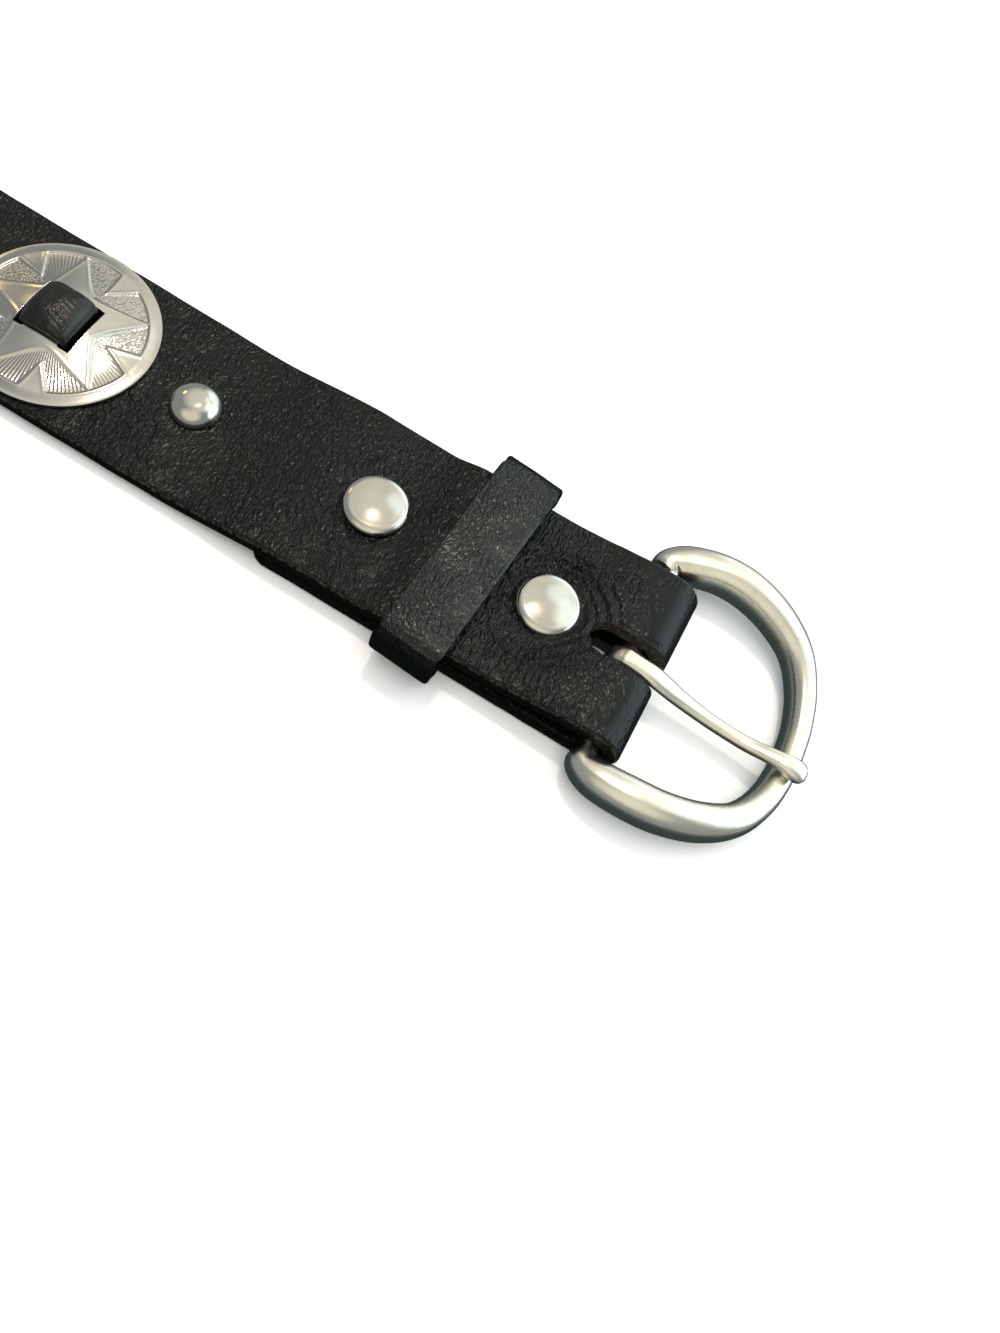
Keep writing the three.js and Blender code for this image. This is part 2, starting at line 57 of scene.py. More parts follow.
# %% Millimetres, and where the belt's own zero lies
MM = 0.001
strap_low, strap_high = (np.array(corner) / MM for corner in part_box("strap"))
ZERO = np.array([strap_high[0], (strap_low[1] + strap_high[1]) / 2, 0.0])


def node_box(name):
    """The lowest and highest corner of a node, in millimetres from the belt's own zero."""
    return tuple(np.array(corner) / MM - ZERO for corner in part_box(name))


def node_middle(name):
    """The middle of a node's box, in millimetres from the belt's own zero."""
    low, high = node_box(name)
    return (low + high) / 2


STRAP_WIDTH = strap_high[1] - strap_low[1]
STRAP_LENGTH = strap_high[0] - strap_low[0]
print("strap %.1f long, %.1f wide" % (STRAP_LENGTH, STRAP_WIDTH))

# %% [markdown]
# Every new surface is a grid of points: rows along the piece and columns round it. One function turns
# such a grid into a closed mesh. It measures the enclosed volume first, as the sum of the signed
# tetrahedra under its faces, and turns the faces round when that comes out negative, so that they
# always point outwards.


# %% From a grid of points to a closed mesh
def volume_under(points, faces):
    """A sixth of the sum of a . (b x c) over triangles fanned from each face's first corner."""
    total = 0.0
    for step in range(1, faces.shape[1] - 1):
        a, b, c = points[faces[:, 0]], points[faces[:, step]], points[faces[:, step + 1]]
        total += float(np.einsum("ij,ij->i", a, np.cross(b, c)).sum()) / 6
    return total


def mesh_object(name, points, quads, caps=(), marks=None, sharp=38):
    """Points in belt millimetres, quads and end caps become an object with smooth faces.

    marks are named values per point, kept as attributes that the materials read."""
    points = np.asarray(points, float).reshape(-1, 3)
    volume = volume_under(points, quads) + sum(volume_under(points, np.array([cap])) for cap in caps)
    if volume < 0:
        quads = quads[:, ::-1]
        caps = [cap[::-1] for cap in caps]
    mesh = bpy.data.meshes.new(name)
    faces = quads.tolist() + [list(map(int, cap)) for cap in caps]
    mesh.from_pydata(((points + ZERO) * MM).tolist(), [], faces)
    for label, values in (marks or {}).items():
        layer = mesh.attributes.new(label, "FLOAT", "POINT")
        layer.data.foreach_set("value", np.asarray(values, np.float32).reshape(-1))
    mesh.shade_smooth()
    mesh.set_sharp_from_angle(angle=math.radians(sharp))
    mesh.update()
    piece = bpy.data.objects.new(name, mesh)
    bpy.context.scene.collection.objects.link(piece)
    return piece


def surface(name, grid, around=True, along=False, marks=None, sharp=38):
    """A grid (rows, columns, 3) as an object; columns join up round it, and rows join up along it or
    get a flat cap at each end."""
    rows, columns = grid.shape[:2]
    index = np.arange(rows * columns).reshape(rows, columns)
    row = np.arange(rows if along else rows - 1)
    column = np.arange(columns if around else columns - 1)
    here, there = np.ix_(row, column), np.ix_(row, (column + 1) % columns)
    above, across = np.ix_((row + 1) % rows, column), np.ix_((row + 1) % rows, (column + 1) % columns)
    quads = np.stack([index[here], index[there], index[across], index[above]], -1).reshape(-1, 4)
    caps = [] if along else [index[0][::-1], index[-1]]
    return mesh_object(name, grid, quads, caps, marks, sharp)


def report(piece):
    """Prints how many faces a piece has and its size in millimetres."""
    size = ", ".join("%.1f" % (side / MM) for side in piece.dimensions)
    print("%-16s %6d faces, %s mm" % (piece.name, len(piece.data.polygons), size))


# %% [markdown]
# Leather and cast metal are never quite even. The small unevenness comes from value noise: random
# heights on a lattice, joined by a smooth curve. The lattice is seeded, so each run gives the same
# belt.


# %% Smooth steps and seeded noise
def smooth(value, low, high):
    """0 below low, 1 above high, and 3t^2 - 2t^3 between, t being the share of the way."""
    t = np.clip((value - low) / (high - low), 0, 1)
    return t * t * (3 - 2 * t)


def noise(x, y, size_x, size_y, seed):
    """Random heights from -1 to 1 on a lattice of size_x by size_y, blended by smooth steps."""
    lattice = np.random.default_rng(seed).uniform(-1, 1, (256, 256))
    u, v = np.asarray(x) / size_x, np.asarray(y) / size_y
    i, j = np.floor(u).astype(int), np.floor(v).astype(int)
    a, b = smooth(u - i, 0, 1), smooth(v - j, 0, 1)
    low = lattice[i % 256, j % 256] * (1 - a) + lattice[(i + 1) % 256, j % 256] * a
    high = lattice[i % 256, (j + 1) % 256] * (1 - a) + lattice[(i + 1) % 256, (j + 1) % 256] * a
    return low * (1 - b) + high * b


# %% [markdown]
# Shader maths reads best as maths. This small class wraps a node's output, so that
# `1 - mask * 0.5` adds the Math nodes by itself. Everything else comes from one method that takes a
# node's type, its settings and what goes into its sockets.


# %% A socket with arithmetic, and a finish to build materials with
class Wire:
    """A node's output that can be added, subtracted and multiplied."""

    def __init__(self, finish, output):
        self.finish, self.output = finish, output

    def __add__(self, other):
        return self.finish.maths("ADD", self, other)

    def __sub__(self, other):
        return self.finish.maths("SUBTRACT", self, other)

    def __rsub__(self, other):
        return self.finish.maths("SUBTRACT", other, self)

    def __mul__(self, other):
        return self.finish.maths("MULTIPLY", self, other)

    def __abs__(self):
        return self.finish.maths("ABSOLUTE", self)

    __radd__, __rmul__ = __add__, __mul__


class Finish:
    """A material under construction: its nodes are added one by one and end in the surface shader."""

    def __init__(self, name):
        self.block = bpy.data.materials.new(name)
        self.block.use_nodes = True
        self.tree = self.block.node_tree
        self.surface = self.tree.nodes["Principled BSDF"]

    def add(self, kind, settings=None, inputs=None, output=0):
        """One node: its settings are set first, and then values or links go into its sockets."""
        node = self.tree.nodes.new(kind)
        for label, value in (settings or {}).items():
            setattr(node, label, value)
        for label, value in (inputs or {}).items():
            self.join(node.inputs[label], value)
        return Wire(self, node.outputs[output])

    def join(self, socket, value):
        """A link into the socket from a wire, or else a plain value."""
        if isinstance(value, Wire):
            self.tree.links.new(value.output, socket)
        else:
            socket.default_value = value

    def maths(self, operation, first, second=0.0):
        return self.add("ShaderNodeMath", {"operation": operation}, {0: first, 1: second})

    def place(self):
        """The Object coordinates, which on these pieces are the belt's own metres."""
        return self.add("ShaderNodeTexCoord", output="Object")

    def turned(self, place, turn, stretch):
        """The place turned by degrees about each axis after it is stretched."""
        inputs = {"Vector": place, "Rotation": tuple(map(math.radians, turn)), "Scale": stretch}
        return self.add("ShaderNodeMapping", {}, inputs)

    def grain(self, place, size, detail, rough):
        """Fractal noise from 0 to 1 whose largest features are about size millimetres."""
        inputs = {"Vector": place, "Scale": 1 / (size * MM), "Detail": detail, "Roughness": rough}
        return self.add("ShaderNodeTexNoise", {}, inputs)

    def cells(self, place, size, feature="F1"):
        """Distance from the middle of each cell of about size millimetres, or to the nearest edge
        between cells, in shares of the size."""
        inputs = {"Vector": place, "Scale": 1 / (size * MM)}
        return self.add("ShaderNodeTexVoronoi", {"feature": feature}, inputs)

    def wander(self, place, size, far):
        """The place moved to and fro by up to half of far, both in millimetres."""
        inputs = {"Vector": place, "Scale": 1 / (size * MM)}
        drift = self.add("ShaderNodeTexNoise", {}, inputs, output="Color")
        shift = {0: drift, 1: (far * MM,) * 3, 2: place}
        return self.add("ShaderNodeVectorMath", {"operation": "MULTIPLY_ADD"}, shift)

    def mark(self, label):
        """A value that the mesh carries at each point."""
        return self.add("ShaderNodeAttribute", {"attribute_name": label}, output="Fac")

    def step(self, value, low, high):
        """0 below low, 1 above high, smooth between."""
        settings = {"interpolation_type": "SMOOTHSTEP"}
        inputs = {"Value": value, "From Min": low, "From Max": high}
        return self.add("ShaderNodeMapRange", settings, inputs)

    def mix(self, share, first, second):
        """first where share is 0 and second where it is 1, as colours."""
        sockets = {0: share, 6: first, 7: second}
        return self.add("ShaderNodeMix", {"data_type": "RGBA"}, sockets, output=2)

    def bump(self, height, depth, under=None):
        """A relief of depth millimetres, on top of another one if given."""
        inputs = {"Height": height, "Distance": depth * MM, "Strength": 1.0}
        if under is not None:
            inputs["Normal"] = under
        return self.add("ShaderNodeBump", {}, inputs)

    def fed(self, label):
        """What feeds a socket of the surface shader now."""
        return Wire(self, self.surface.inputs[label].links[0].from_socket)

    def shade(self, **inputs):
        """Values or wires into the surface shader; an underscore stands for a space in a name."""
        for label, value in inputs.items():
            self.join(self.surface.inputs[label.replace("_", " ")], value)
        return self.block


# %% [markdown]
# The black leather is dyed through, so its colour barely changes: nearly black, a little brown where
# the grain is rubbed. What the eye sees is the grain itself, glinting. A belt is bent round the body,
# so its creases run across it and its grain cells are stretched that way too. Some patches are
# creased and others stay smooth. The cut edge is not polished: it is brown and fibrous.

# %% Finishes for the leathers
BLACK = (0.0026, 0.0031, 0.0030, 1)
RUBBED = (0.0066, 0.0063, 0.0054, 1)
EDGE_BROWN = (0.105, 0.084, 0.056, 1)
EDGE_DARK = (0.0045, 0.0038, 0.0032, 1)


def leather_finish(name, turn, cell, stretch, depth, gloss, shine):
    """Black leather whose cells of about cell millimetres are stretched across the belt.

    The relief is a pillow on each cell, creases where a broad noise passes its middle value, and a
    fine tooth on top. A pillow turns through every slope, so each one catches a small light. The mark
    burnish says where rubbing has closed the grain."""
    finish = Finish(name)
    place = finish.place()
    burnish = finish.mark("burnish")
    drifting = finish.wander(place, 3.0, 1.8)
    across = finish.turned(drifting, (0, 0, turn), (1.0, stretch, 1.0))
    pillows = finish.step(finish.cells(across, cell, "DISTANCE_TO_EDGE"), -0.12, 0.5)
    small = finish.step(finish.cells(across, cell * 0.55, "DISTANCE_TO_EDGE"), -0.12, 0.5)
    folds = finish.grain(finish.turned(drifting, (0, 0, turn), (1.0, 0.34, 1.0)), 3.4, 2.0, 0.5)
    creases = finish.step(abs(folds - 0.5), 0.0, 0.04)
    tooth = finish.grain(place, 0.4, 3.0, 0.7)
    broad = finish.grain(place, 12.0, 2.0, 0.5)
    creased = (finish.step(broad, 0.34, 0.6) * 0.75 + 0.25) * (1 - burnish * 0.75)
    height = pillows * creased + small * creased * 0.5 + creases * (creased * 0.7 + 0.1) + tooth * 0.12
    worn = finish.step(tooth * 0.6 + pillows * 0.3 + broad * 0.4, 0.62, 0.95)
    rough = gloss + tooth * 0.08 + (1 - creased) * 0.06 - burnish * 0.04
    colour, normal = finish.mix(worn, BLACK, RUBBED), finish.bump(height, depth)
    finish.shade(Base_Color=colour, Roughness=rough, Normal=normal, Specular_IOR_Level=shine)
    return finish


def edged(finish, name, brown):
    """The finish with a cut edge where the mark of that name is 1: dull, fibrous, brown by a share.

    Cut fibres hardly shine. A metallic share with a dark colour takes the shine of the grain away.
    Where the mark also covers grain face, as on the keeper's ends, this dark, dull colour is painted
    shade."""
    edge, bevel = finish.mark(name), finish.mark("bevel")
    place = finish.place()
    fibres = finish.grain(place, 0.75, 4.0, 0.75)
    specks = finish.step(fibres + bevel * 0.08, 0.5, 0.66) * (bevel * 0.85 + 0.15) * brown
    cut = finish.mix(specks, EDGE_DARK, EDGE_BROWN)
    face, rough, normal = map(finish.fed, ("Base Color", "Roughness", "Normal"))
    share = finish.step(edge, 0.3, 0.7)
    furry = finish.bump(fibres * share, 0.3, normal)
    colour, rough = finish.mix(share, face, cut), rough + share * 0.25
    return finish.shade(Base_Color=colour, Roughness=rough, Metallic=share * 0.8, Normal=furry)


def raw_finish():
    """The walls of a hole or slot: bare brown fibres with black dye rubbed in."""
    finish = Finish("raw_leather")
    fibres = finish.grain(finish.place(), 0.6, 5.0, 0.7)
    colour = finish.mix(finish.step(fibres, 0.4, 0.7), EDGE_DARK, EDGE_BROWN)
    return finish.shade(Base_Color=colour, Roughness=0.75, Normal=finish.bump(fibres, 0.2))


# Turn of the grain in degrees, cell in millimetres, stretch, depth in millimetres, gloss, shine.
STRAP_GRAIN = (-9, 0.95, 0.42, 0.22, 0.18, 0.25)
KEEPER_GRAIN = (32, 0.8, 0.55, 0.18, 0.15, 0.48)
LACE_GRAIN = (80, 0.6, 0.7, 0.05, 0.22, 0.5)
STRAP_LEATHER = edged(leather_finish("strap_leather", *STRAP_GRAIN), "edge", 1.0)
RAW_LEATHER = raw_finish()
# On the keeper the cut-edge mark also covers the grain of the loop's two ends, and this finish paints
# them dark: painted shade.
KEEPER_LEATHER = edged(leather_finish("keeper_leather", *KEEPER_GRAIN), "edge", 0.3)
LACE_LEATHER = leather_finish("lace_leather", *LACE_GRAIN).block
print("leathers made")

# %% [markdown]
# The fittings are nickel plated. Nickel is a warm grey metal, softer in its shine than chrome: the
# caps are polished, the buckle is satin from wear, and the stamped conchos hold some dark polish in
# their hollows. All three are one recipe with other numbers.

# %% Finishes for the metals
NICKEL = (0.73, 0.71, 0.63, 1)
PALE_NICKEL = (0.86, 0.835, 0.705, 1)
TARNISH = (0.13, 0.115, 0.095, 1)


def nickel_finish(name, metal, shine, cloud, scratch):
    """Nickel: roughness in soft clouds, fine scratches, and a faint dull bloom."""
    finish = Finish(name)
    place = finish.place()
    clouds = finish.grain(place, 4.0, 3.0, 0.6)
    fine = finish.grain(finish.turned(place, (0, 0, 35), (0.12, 1, 1)), 0.5, 3.0, 0.7)
    bloom = finish.step(clouds, 0.45, 0.8)
    dull = tuple(0.8 * value for value in metal[:3]) + (1,)
    colour = finish.mix(bloom * 0.6, metal, dull)
    rough = shine + clouds * cloud + fine * 0.05
    finish.shade(Base_Color=colour, Roughness=rough, Metallic=1.0, Normal=finish.bump(fine, scratch))
    return finish


def layered(finish, share, colour):
    """The finish with another colour where share is 1."""
    finish.shade(Base_Color=finish.mix(share, finish.fed("Base Color"), colour))
    return finish


def stamped_finish():
    """Stamped nickel: pebbled where the mark stipple is 1, ridged where hatch is 1, dark in hollows.

    The mark spoke counts the ridges, so that their sine is drawn here and not by the mesh."""
    finish = nickel_finish("stamped_nickel", NICKEL, 0.09, 0.06, 0.012)
    stipple, hatch, spoke, hollow = map(finish.mark, ("stipple", "hatch", "spoke", "hollow"))
    dots = finish.cells(finish.place(), 0.48)
    ridge = finish.maths("SINE", spoke * (2 * math.pi)) * 0.5 + 0.5
    relief = (1 - dots) * stipple + ridge * hatch * 0.8
    pits = finish.step(dots, 0.4, 0.8) * stipple * 0.35 + (1 - ridge) * hatch * 0.3
    layered(finish, pits + hollow * 0.25, TARNISH)
    return finish.shade(Normal=finish.bump(relief, 0.06, finish.fed("Normal")))


POLISHED = nickel_finish("polished_nickel", NICKEL, 0.025, 0.04, 0.006).block
SATIN = nickel_finish("satin_nickel", PALE_NICKEL, 0.17, 0.15, 0.02).block
STAMPED = stamped_finish()
print("metals made")

# %% [markdown]
# The strap is one strip of leather. Seen from the side it starts at the free tip on the table, rides
# on the backs of the laces, climbs over its own turned-back end and the floor of the keeper, goes
# round the buckle's bar and comes back underneath, thinned at its end. It is a section carried along
# that line: a rectangle with rounded corners, because a belt's edges are bevelled after cutting.

# %% The line of the strap
THICKNESS = 3.6
LACE_BACK = 1.2
FOLD_INNER = 2.5
BAR_X, BAR_Z = -(FOLD_INNER + THICKNESS), FOLD_INNER + THICKNESS
UNDER_LENGTH, UNDER_SKIVE, SKIVED = 84.0, 15.0, 1.2
SNAP_1 = node_middle("snap_1")
SNAP_2 = node_middle("snap_2")
KEEPER_LOW, KEEPER_HIGH = node_box("keeper")
COUNT, PITCH = 12, 59
CONCHOS = [node_middle("concho_%d" % (i + 1)) for i in range(COUNT)]
DOMES = [node_middle("dome_stud_%d" % (i + 1)) for i in range(COUNT)]
KEEPER_WALL = 1.8
FIT = 0.15
UPPER_AT_KEEPER = KEEPER_LOW[2] + KEEPER_WALL + FIT
KEEPER_BACK = -48.1
UPPER_AT_SNAP = THICKNESS + 0.5
SNAP_FLAT = 6.5
CONCHO_RADIUS = 18.3
FINE_FROM = -170.0

# Place along the belt, and height of the upper layer's underside there.
CLIMBS = [
    (-STRAP_LENGTH, 0.0),
    (CONCHOS[-1][0] - 2 * CONCHO_RADIUS - PITCH, 0.0),
    (CONCHOS[-1][0] - 2 * CONCHO_RADIUS, LACE_BACK),
    (DOMES[0][0] + 3.6, LACE_BACK),
    (SNAP_1[0] - SNAP_FLAT, UPPER_AT_SNAP),
    (SNAP_1[0] + SNAP_FLAT, UPPER_AT_SNAP),
    (KEEPER_BACK, UPPER_AT_KEEPER),
    (SNAP_2[0] - SNAP_FLAT, UPPER_AT_KEEPER),
    (BAR_X, BAR_Z + FOLD_INNER),
]


def upper_bottom(x):
    """Height of the upper layer's underside: a smooth step from each row of the table to the next."""
    places, heights = np.array(CLIMBS).T
    at = np.clip(np.searchsorted(places, x, side="right") - 1, 0, len(places) - 2)
    share = smooth(x, places[at], places[at + 1])
    return heights[at] + (heights[at + 1] - heights[at]) * share


def strap_line():
    """Middle points (x, z), unit normals towards the outer face, and half thickness, tip to end."""
    far = np.arange(-STRAP_LENGTH, FINE_FROM, 2.4)
    near = np.arange(FINE_FROM, BAR_X, 0.55)
    x = np.concatenate([far, near, [BAR_X]])
    top = np.stack([x, upper_bottom(x) + THICKNESS / 2], -1)
    angle = np.radians(90 - np.linspace(0, 180, 33)[1:])
    radius = FOLD_INNER + THICKNESS / 2
    fold = np.stack([BAR_X + radius * np.cos(angle), BAR_Z + radius * np.sin(angle)], -1)
    back = np.concatenate([np.arange(BAR_X - 1.5, -UNDER_LENGTH, -1.5), [-UNDER_LENGTH]])
    thinned = smooth(-back, UNDER_LENGTH - UNDER_SKIVE, UNDER_LENGTH)
    half_back = THICKNESS / 2 - (THICKNESS - SKIVED) / 2 * thinned
    line = np.concatenate([top, fold, np.stack([back, half_back], -1)])
    half = np.concatenate([np.full(len(top) + len(fold), THICKNESS / 2), half_back])
    along = np.gradient(line, axis=0)
    along /= np.linalg.norm(along, axis=1, keepdims=True)
    return line, np.stack([-along[:, 1], along[:, 0]], -1), half


line, outward, half_thick = strap_line()
print("strap line", len(line), "stations, highest", round(float(line[:, 1].max()) + THICKNESS / 2, 2))

# %% [markdown]
# Seen from above the strap is a plain band with a nosed tip and clipped corners on its hidden end.
# The section's points are kept as shares, so that one formula places them at every station: a base
# point inside the corner, plus the corner's own radius in its direction.


# %% The strap's section and outline
TIP_LENGTH, TIP_BEND, NOSE_HALF = 24, 7.2, 4.5
CLIPPED_CORNER = 8


def half_widths():
    """Half the width at each station: a quadratic curve to the nose at the tip, clipped at the end."""
    t = np.linspace(0, 1, 200)
    half = STRAP_WIDTH / 2
    nose_x = (1 - t) ** 2 * -TIP_LENGTH + 2 * t * (1 - t) * -TIP_BEND
    nose_y = (1 - t) ** 2 * half + 2 * t * (1 - t) * half + t**2 * NOSE_HALF
    tip = np.interp(-(line[:, 0] + STRAP_LENGTH), nose_x, nose_y)
    widths = np.where(line[:, 0] < -STRAP_LENGTH + TIP_LENGTH, tip, half)
    fold_end = np.argmin(abs(line[:, 1] - THICKNESS / 2) + abs(line[:, 0] - BAR_X))
    last = np.arange(len(line)) > fold_end
    clipped = half - CLIPPED_CORNER + (line[:, 0] + UNDER_LENGTH)
    return np.where(last, np.minimum(widths, clipped), widths)


def section_shares(top, bottom, corner):
    """Columns (base across, corner across, base up, corner up) of a rounded rectangle, round once."""
    turn = np.radians(np.linspace(0, 90, corner + 2)[1:-1])
    flat = np.linspace(1, -1, top)
    rows = [np.stack([flat, flat * 0, flat * 0 + 1, flat * 0 + 1], -1)]
    ones = np.ones(corner)
    rows.append(np.stack([-ones, -np.sin(turn), ones, np.cos(turn)], -1))
    rows.append(np.array([[-1, -1, 1, 0], [-1, -1, 0, 0], [-1, -1, -1, 0]], float))
    rows.append(np.stack([-ones, -np.cos(turn), -ones, -np.sin(turn)], -1))
    flat = np.linspace(-1, 1, bottom)
    rows.append(np.stack([flat, flat * 0, flat * 0 - 1, flat * 0 - 1], -1))
    rows.append(np.stack([ones, np.sin(turn), -ones, -np.cos(turn)], -1))
    rows.append(np.array([[1, 1, -1, 0], [1, 1, 0, 0], [1, 1, 1, 0]], float))
    rows.append(np.stack([ones, np.cos(turn), ones, np.sin(turn)], -1))
    return np.concatenate(rows)


SLOT_X, SLOT_Y, SLOT_RADIUS = -16.1, -0.5, 3.3


def face_relief(x, y):
    """Millimetres that the outer face stands up: long creases across, rings of creases round the
    second snap, a seat pressed in under each cap, and a soft rim at the tongue's slot."""
    creases = noise(x + 0.35 * y, y, 3.4, 15.0, 3) * 0.5 + noise(x - 0.2 * y, y, 6.5, 22.0, 4) * 0.5
    wear = smooth(noise(x, y, 34.0, 26.0, 5), -0.5, 0.6)
    relief = 0.09 * creases * (0.35 + 0.65 * wear) + 0.09 * noise(x + 0.3 * y, y, 7, 9, 6)
    for snap in (SNAP_1, SNAP_2):
        from_snap = np.hypot(x - snap[0], y - snap[1])
        relief -= 0.35 * np.exp(-(((from_snap - 6.4) / 1.7) ** 2))
    from_snap = np.hypot(x - SNAP_2[0] - 0.8, y - SNAP_2[1])
    wobble = from_snap + 1.1 * noise(x, y, 6, 6, 7)
    rings = np.cos(2 * np.pi * wobble / 2.3) * np.exp(-(((from_snap - 10.5) / 3.4) ** 2))
    nearer = 0.4 * np.tanh((x - SNAP_2[0] - 0.5 * y) / 4)
    relief += 0.34 * rings * smooth(noise(x, y, 9, 9, 8) + nearer, -0.7, 0.5)
    slot_edge = np.hypot(np.maximum(SLOT_X + SLOT_RADIUS - x, 0), y - SLOT_Y) - SLOT_RADIUS
    relief -= 0.3 * (1 - smooth(slot_edge, 0.0, 1.5)) * (x > -17)
    return relief


section = section_shares(66, 22, 4)
widths = half_widths()
wave = 0.06 * noise(line[:, 0], 0, 11.0, 1.0, 11) + 0.04 * noise(line[:, 0], 0, 3.0, 1.0, 12)
corner = np.minimum(0.9, 0.55 * half_thick)
across = section[:, 0] * (widths - corner)[:, None] + section[:, 1] * corner[:, None]
side = np.sign(section[:, 0]) * (abs(section[:, 1]) > 0)
across += side * wave[:, None] * np.sign(section[:, 3] + 0.5)
up = section[:, 2] * (half_thick - corner)[:, None] + section[:, 3] * corner[:, None]
on_face = smooth(section[:, 3], 0.2, 1.0) * (section[:, 2] > 0) * smooth(outward[:, 1:], 0.0, 0.8)
up = up + on_face * face_relief(line[:, :1], across) * (half_thick[:, None] > 1.0)
strap_x, strap_z = line[:, :1] + outward[:, :1] * up, line[:, 1:] + outward[:, 1:] * up
strap_grid = np.stack([strap_x, across, strap_z], -1)
fold_share = smooth(line[:, 0], -16.0, -4.0)[:, None] * (line[:, 1] > 2.0)[:, None]
on_edge = (section[:, 3] < 0.75) & (section[:, 3] > -0.9)
on_bevel = (section[:, 3] < 0.97) & (section[:, 3] > 0.05)
strap_marks = {
    "edge": np.broadcast_to(on_edge, across.shape).astype(float),
    "bevel": np.broadcast_to(on_bevel, across.shape).astype(float),
    "burnish": np.broadcast_to(fold_share, across.shape),
}
strap = surface("strap_leather_strip", strap_grid, marks=strap_marks, sharp=60)
report(strap)

# %% [markdown]
# Slots and holes are punched through the leather with shaped steel punches. Here each punch is a
# closed prism, and one exact boolean takes them all out of the strip. The walls that it leaves belong
# to the second material, the raw leather inside the strap.


# %% Punches, and cutting with them
def prism(outline, low, high):
    """Grid rows of an outline (n, 2) standing from low to high."""
    ring = np.asarray(outline, float)
    return np.stack([np.column_stack([ring, np.full(len(ring), z)]) for z in (low, high)])


def round_outline(x, y, radius, sides):
    """Points evenly round a circle."""
    turn = np.linspace(0, 2 * np.pi, sides, endpoint=False)
    return np.stack([x + radius * np.cos(turn), y + radius * np.sin(turn)], -1)


def box_outline(x, y, half_x, half_y, corner):
    """A rectangle with its corners rounded by short arcs."""
    turn = np.radians(np.arange(0, 360, 30) + 15)
    base_x = np.sign(np.cos(turn)) * (half_x - corner)
    base_y = np.sign(np.sin(turn)) * (half_y - corner)
    return np.stack([x + base_x + corner * np.cos(turn), y + base_y + corner * np.sin(turn)], -1)


def joined(pieces, name):
    """Several objects as one object."""
    with bpy.context.temp_override(active_object=pieces[0], selected_editable_objects=pieces):
        bpy.ops.object.join()
    pieces[0].name = name
    return pieces[0]


def solved(piece, cutter, operation):
    """The piece after an exact boolean with the cutter, which is then removed."""
    step = piece.modifiers.new("boolean", "BOOLEAN")
    step.object, step.operation, step.solver = cutter, operation, "EXACT"
    graph = bpy.context.evaluated_depsgraph_get()
    made = bpy.data.meshes.new_from_object(piece.evaluated_get(graph), depsgraph=graph)
    piece.modifiers.remove(step)
    piece.data = made
    bpy.data.objects.remove(cutter)
    return piece


LACE_X = 4.8
LACE_SLOT = (1.15, 5.55)
HOLES, HOLE_FROM_TIP, HOLE_PITCH, HOLE_RADIUS = 5, 76, 25.4, 2.5
turn = np.radians(np.linspace(90, 270, 17))
slot_end = [SLOT_X + SLOT_RADIUS + SLOT_RADIUS * np.cos(turn), SLOT_Y + SLOT_RADIUS * np.sin(turn)]
slot_end = np.stack(slot_end, -1)
slot_outline = np.concatenate([slot_end, [[3, SLOT_Y - SLOT_RADIUS], [3, SLOT_Y + SLOT_RADIUS]]])
punches = [prism(slot_outline, -2, 16)]
for middle in CONCHOS:
    for side in (-1, 1):
        punches.append(prism(box_outline(middle[0] + side * LACE_X, 0, *LACE_SLOT, 0.5), -2, 9))
for middle in DOMES:
    punches.append(prism(round_outline(middle[0], 0, 1.55, 16), -2, 9))
for hole in range(HOLES):
    hole_x = -STRAP_LENGTH + HOLE_FROM_TIP + HOLE_PITCH * hole
    punches.append(prism(round_outline(hole_x, 0, HOLE_RADIUS, 40), -2, 9))
for snap in (SNAP_1, SNAP_2):
    punches.append(prism(round_outline(snap[0], snap[1], 4.65, 48), -2, 1.05))
    punches.append(prism(round_outline(snap[0], snap[1], 2.15, 24), -1, 14))
cutter = joined([surface("punch_%d" % i, grid) for i, grid in enumerate(punches)], "punches")
for piece in (strap, cutter):
    piece.data.materials.append(STRAP_LEATHER)
    piece.data.materials.append(RAW_LEATHER)
cutter.data.polygons.foreach_set("material_index", np.ones(len(cutter.data.polygons), np.int32))
solved(strap, cutter, "DIFFERENCE")
strap.data.set_sharp_from_angle(angle=math.radians(50))
report(strap)
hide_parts("strap")
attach(strap, "belt")

# %% [markdown]
# The keeper is a loop of thinner leather. Its section, a strip with softened edges, is carried round a
# rounded rectangle. The real one has been bent by hand, so its roof is slightly crowned and its ends
# bulge a little.


# %% The keeper
def rounded_loop(half_y, low, high, radius, sides):
    """Points (y, z) round a rounded rectangle from low to high, with their outward directions."""
    turn = np.radians(np.concatenate([np.linspace(a, a + 90, sides) for a in (0, 90, 180, 270)]))
    quarter = np.repeat([45, 135, 225, 315], sides)
    base_y = np.sign(np.cos(np.radians(quarter))) * (half_y - radius)
    middle, half_z = (low + high) / 2, (high - low) / 2
    base_z = middle + np.sign(np.sin(np.radians(quarter))) * (half_z - radius)
    out = np.stack([np.cos(turn), np.sin(turn)], -1)
    return np.stack([base_y, base_z], -1) + radius * out, out


def resampled(points, directions, count):
    """The closed loop again, with count points evenly along it."""
    ring = np.concatenate([points, points[:1]])
    run = np.concatenate([[0], np.cumsum(np.linalg.norm(np.diff(ring, axis=0), axis=1))])
    at = np.linspace(0, run[-1], count, endpoint=False)
    both = np.concatenate([ring, np.concatenate([directions, directions[:1]])], 1)
    values = np.stack([np.interp(at, run, both[:, i]) for i in range(4)], -1)
    out = values[:, 2:] / np.linalg.norm(values[:, 2:], axis=1, keepdims=True)
    return values[:, :2], out


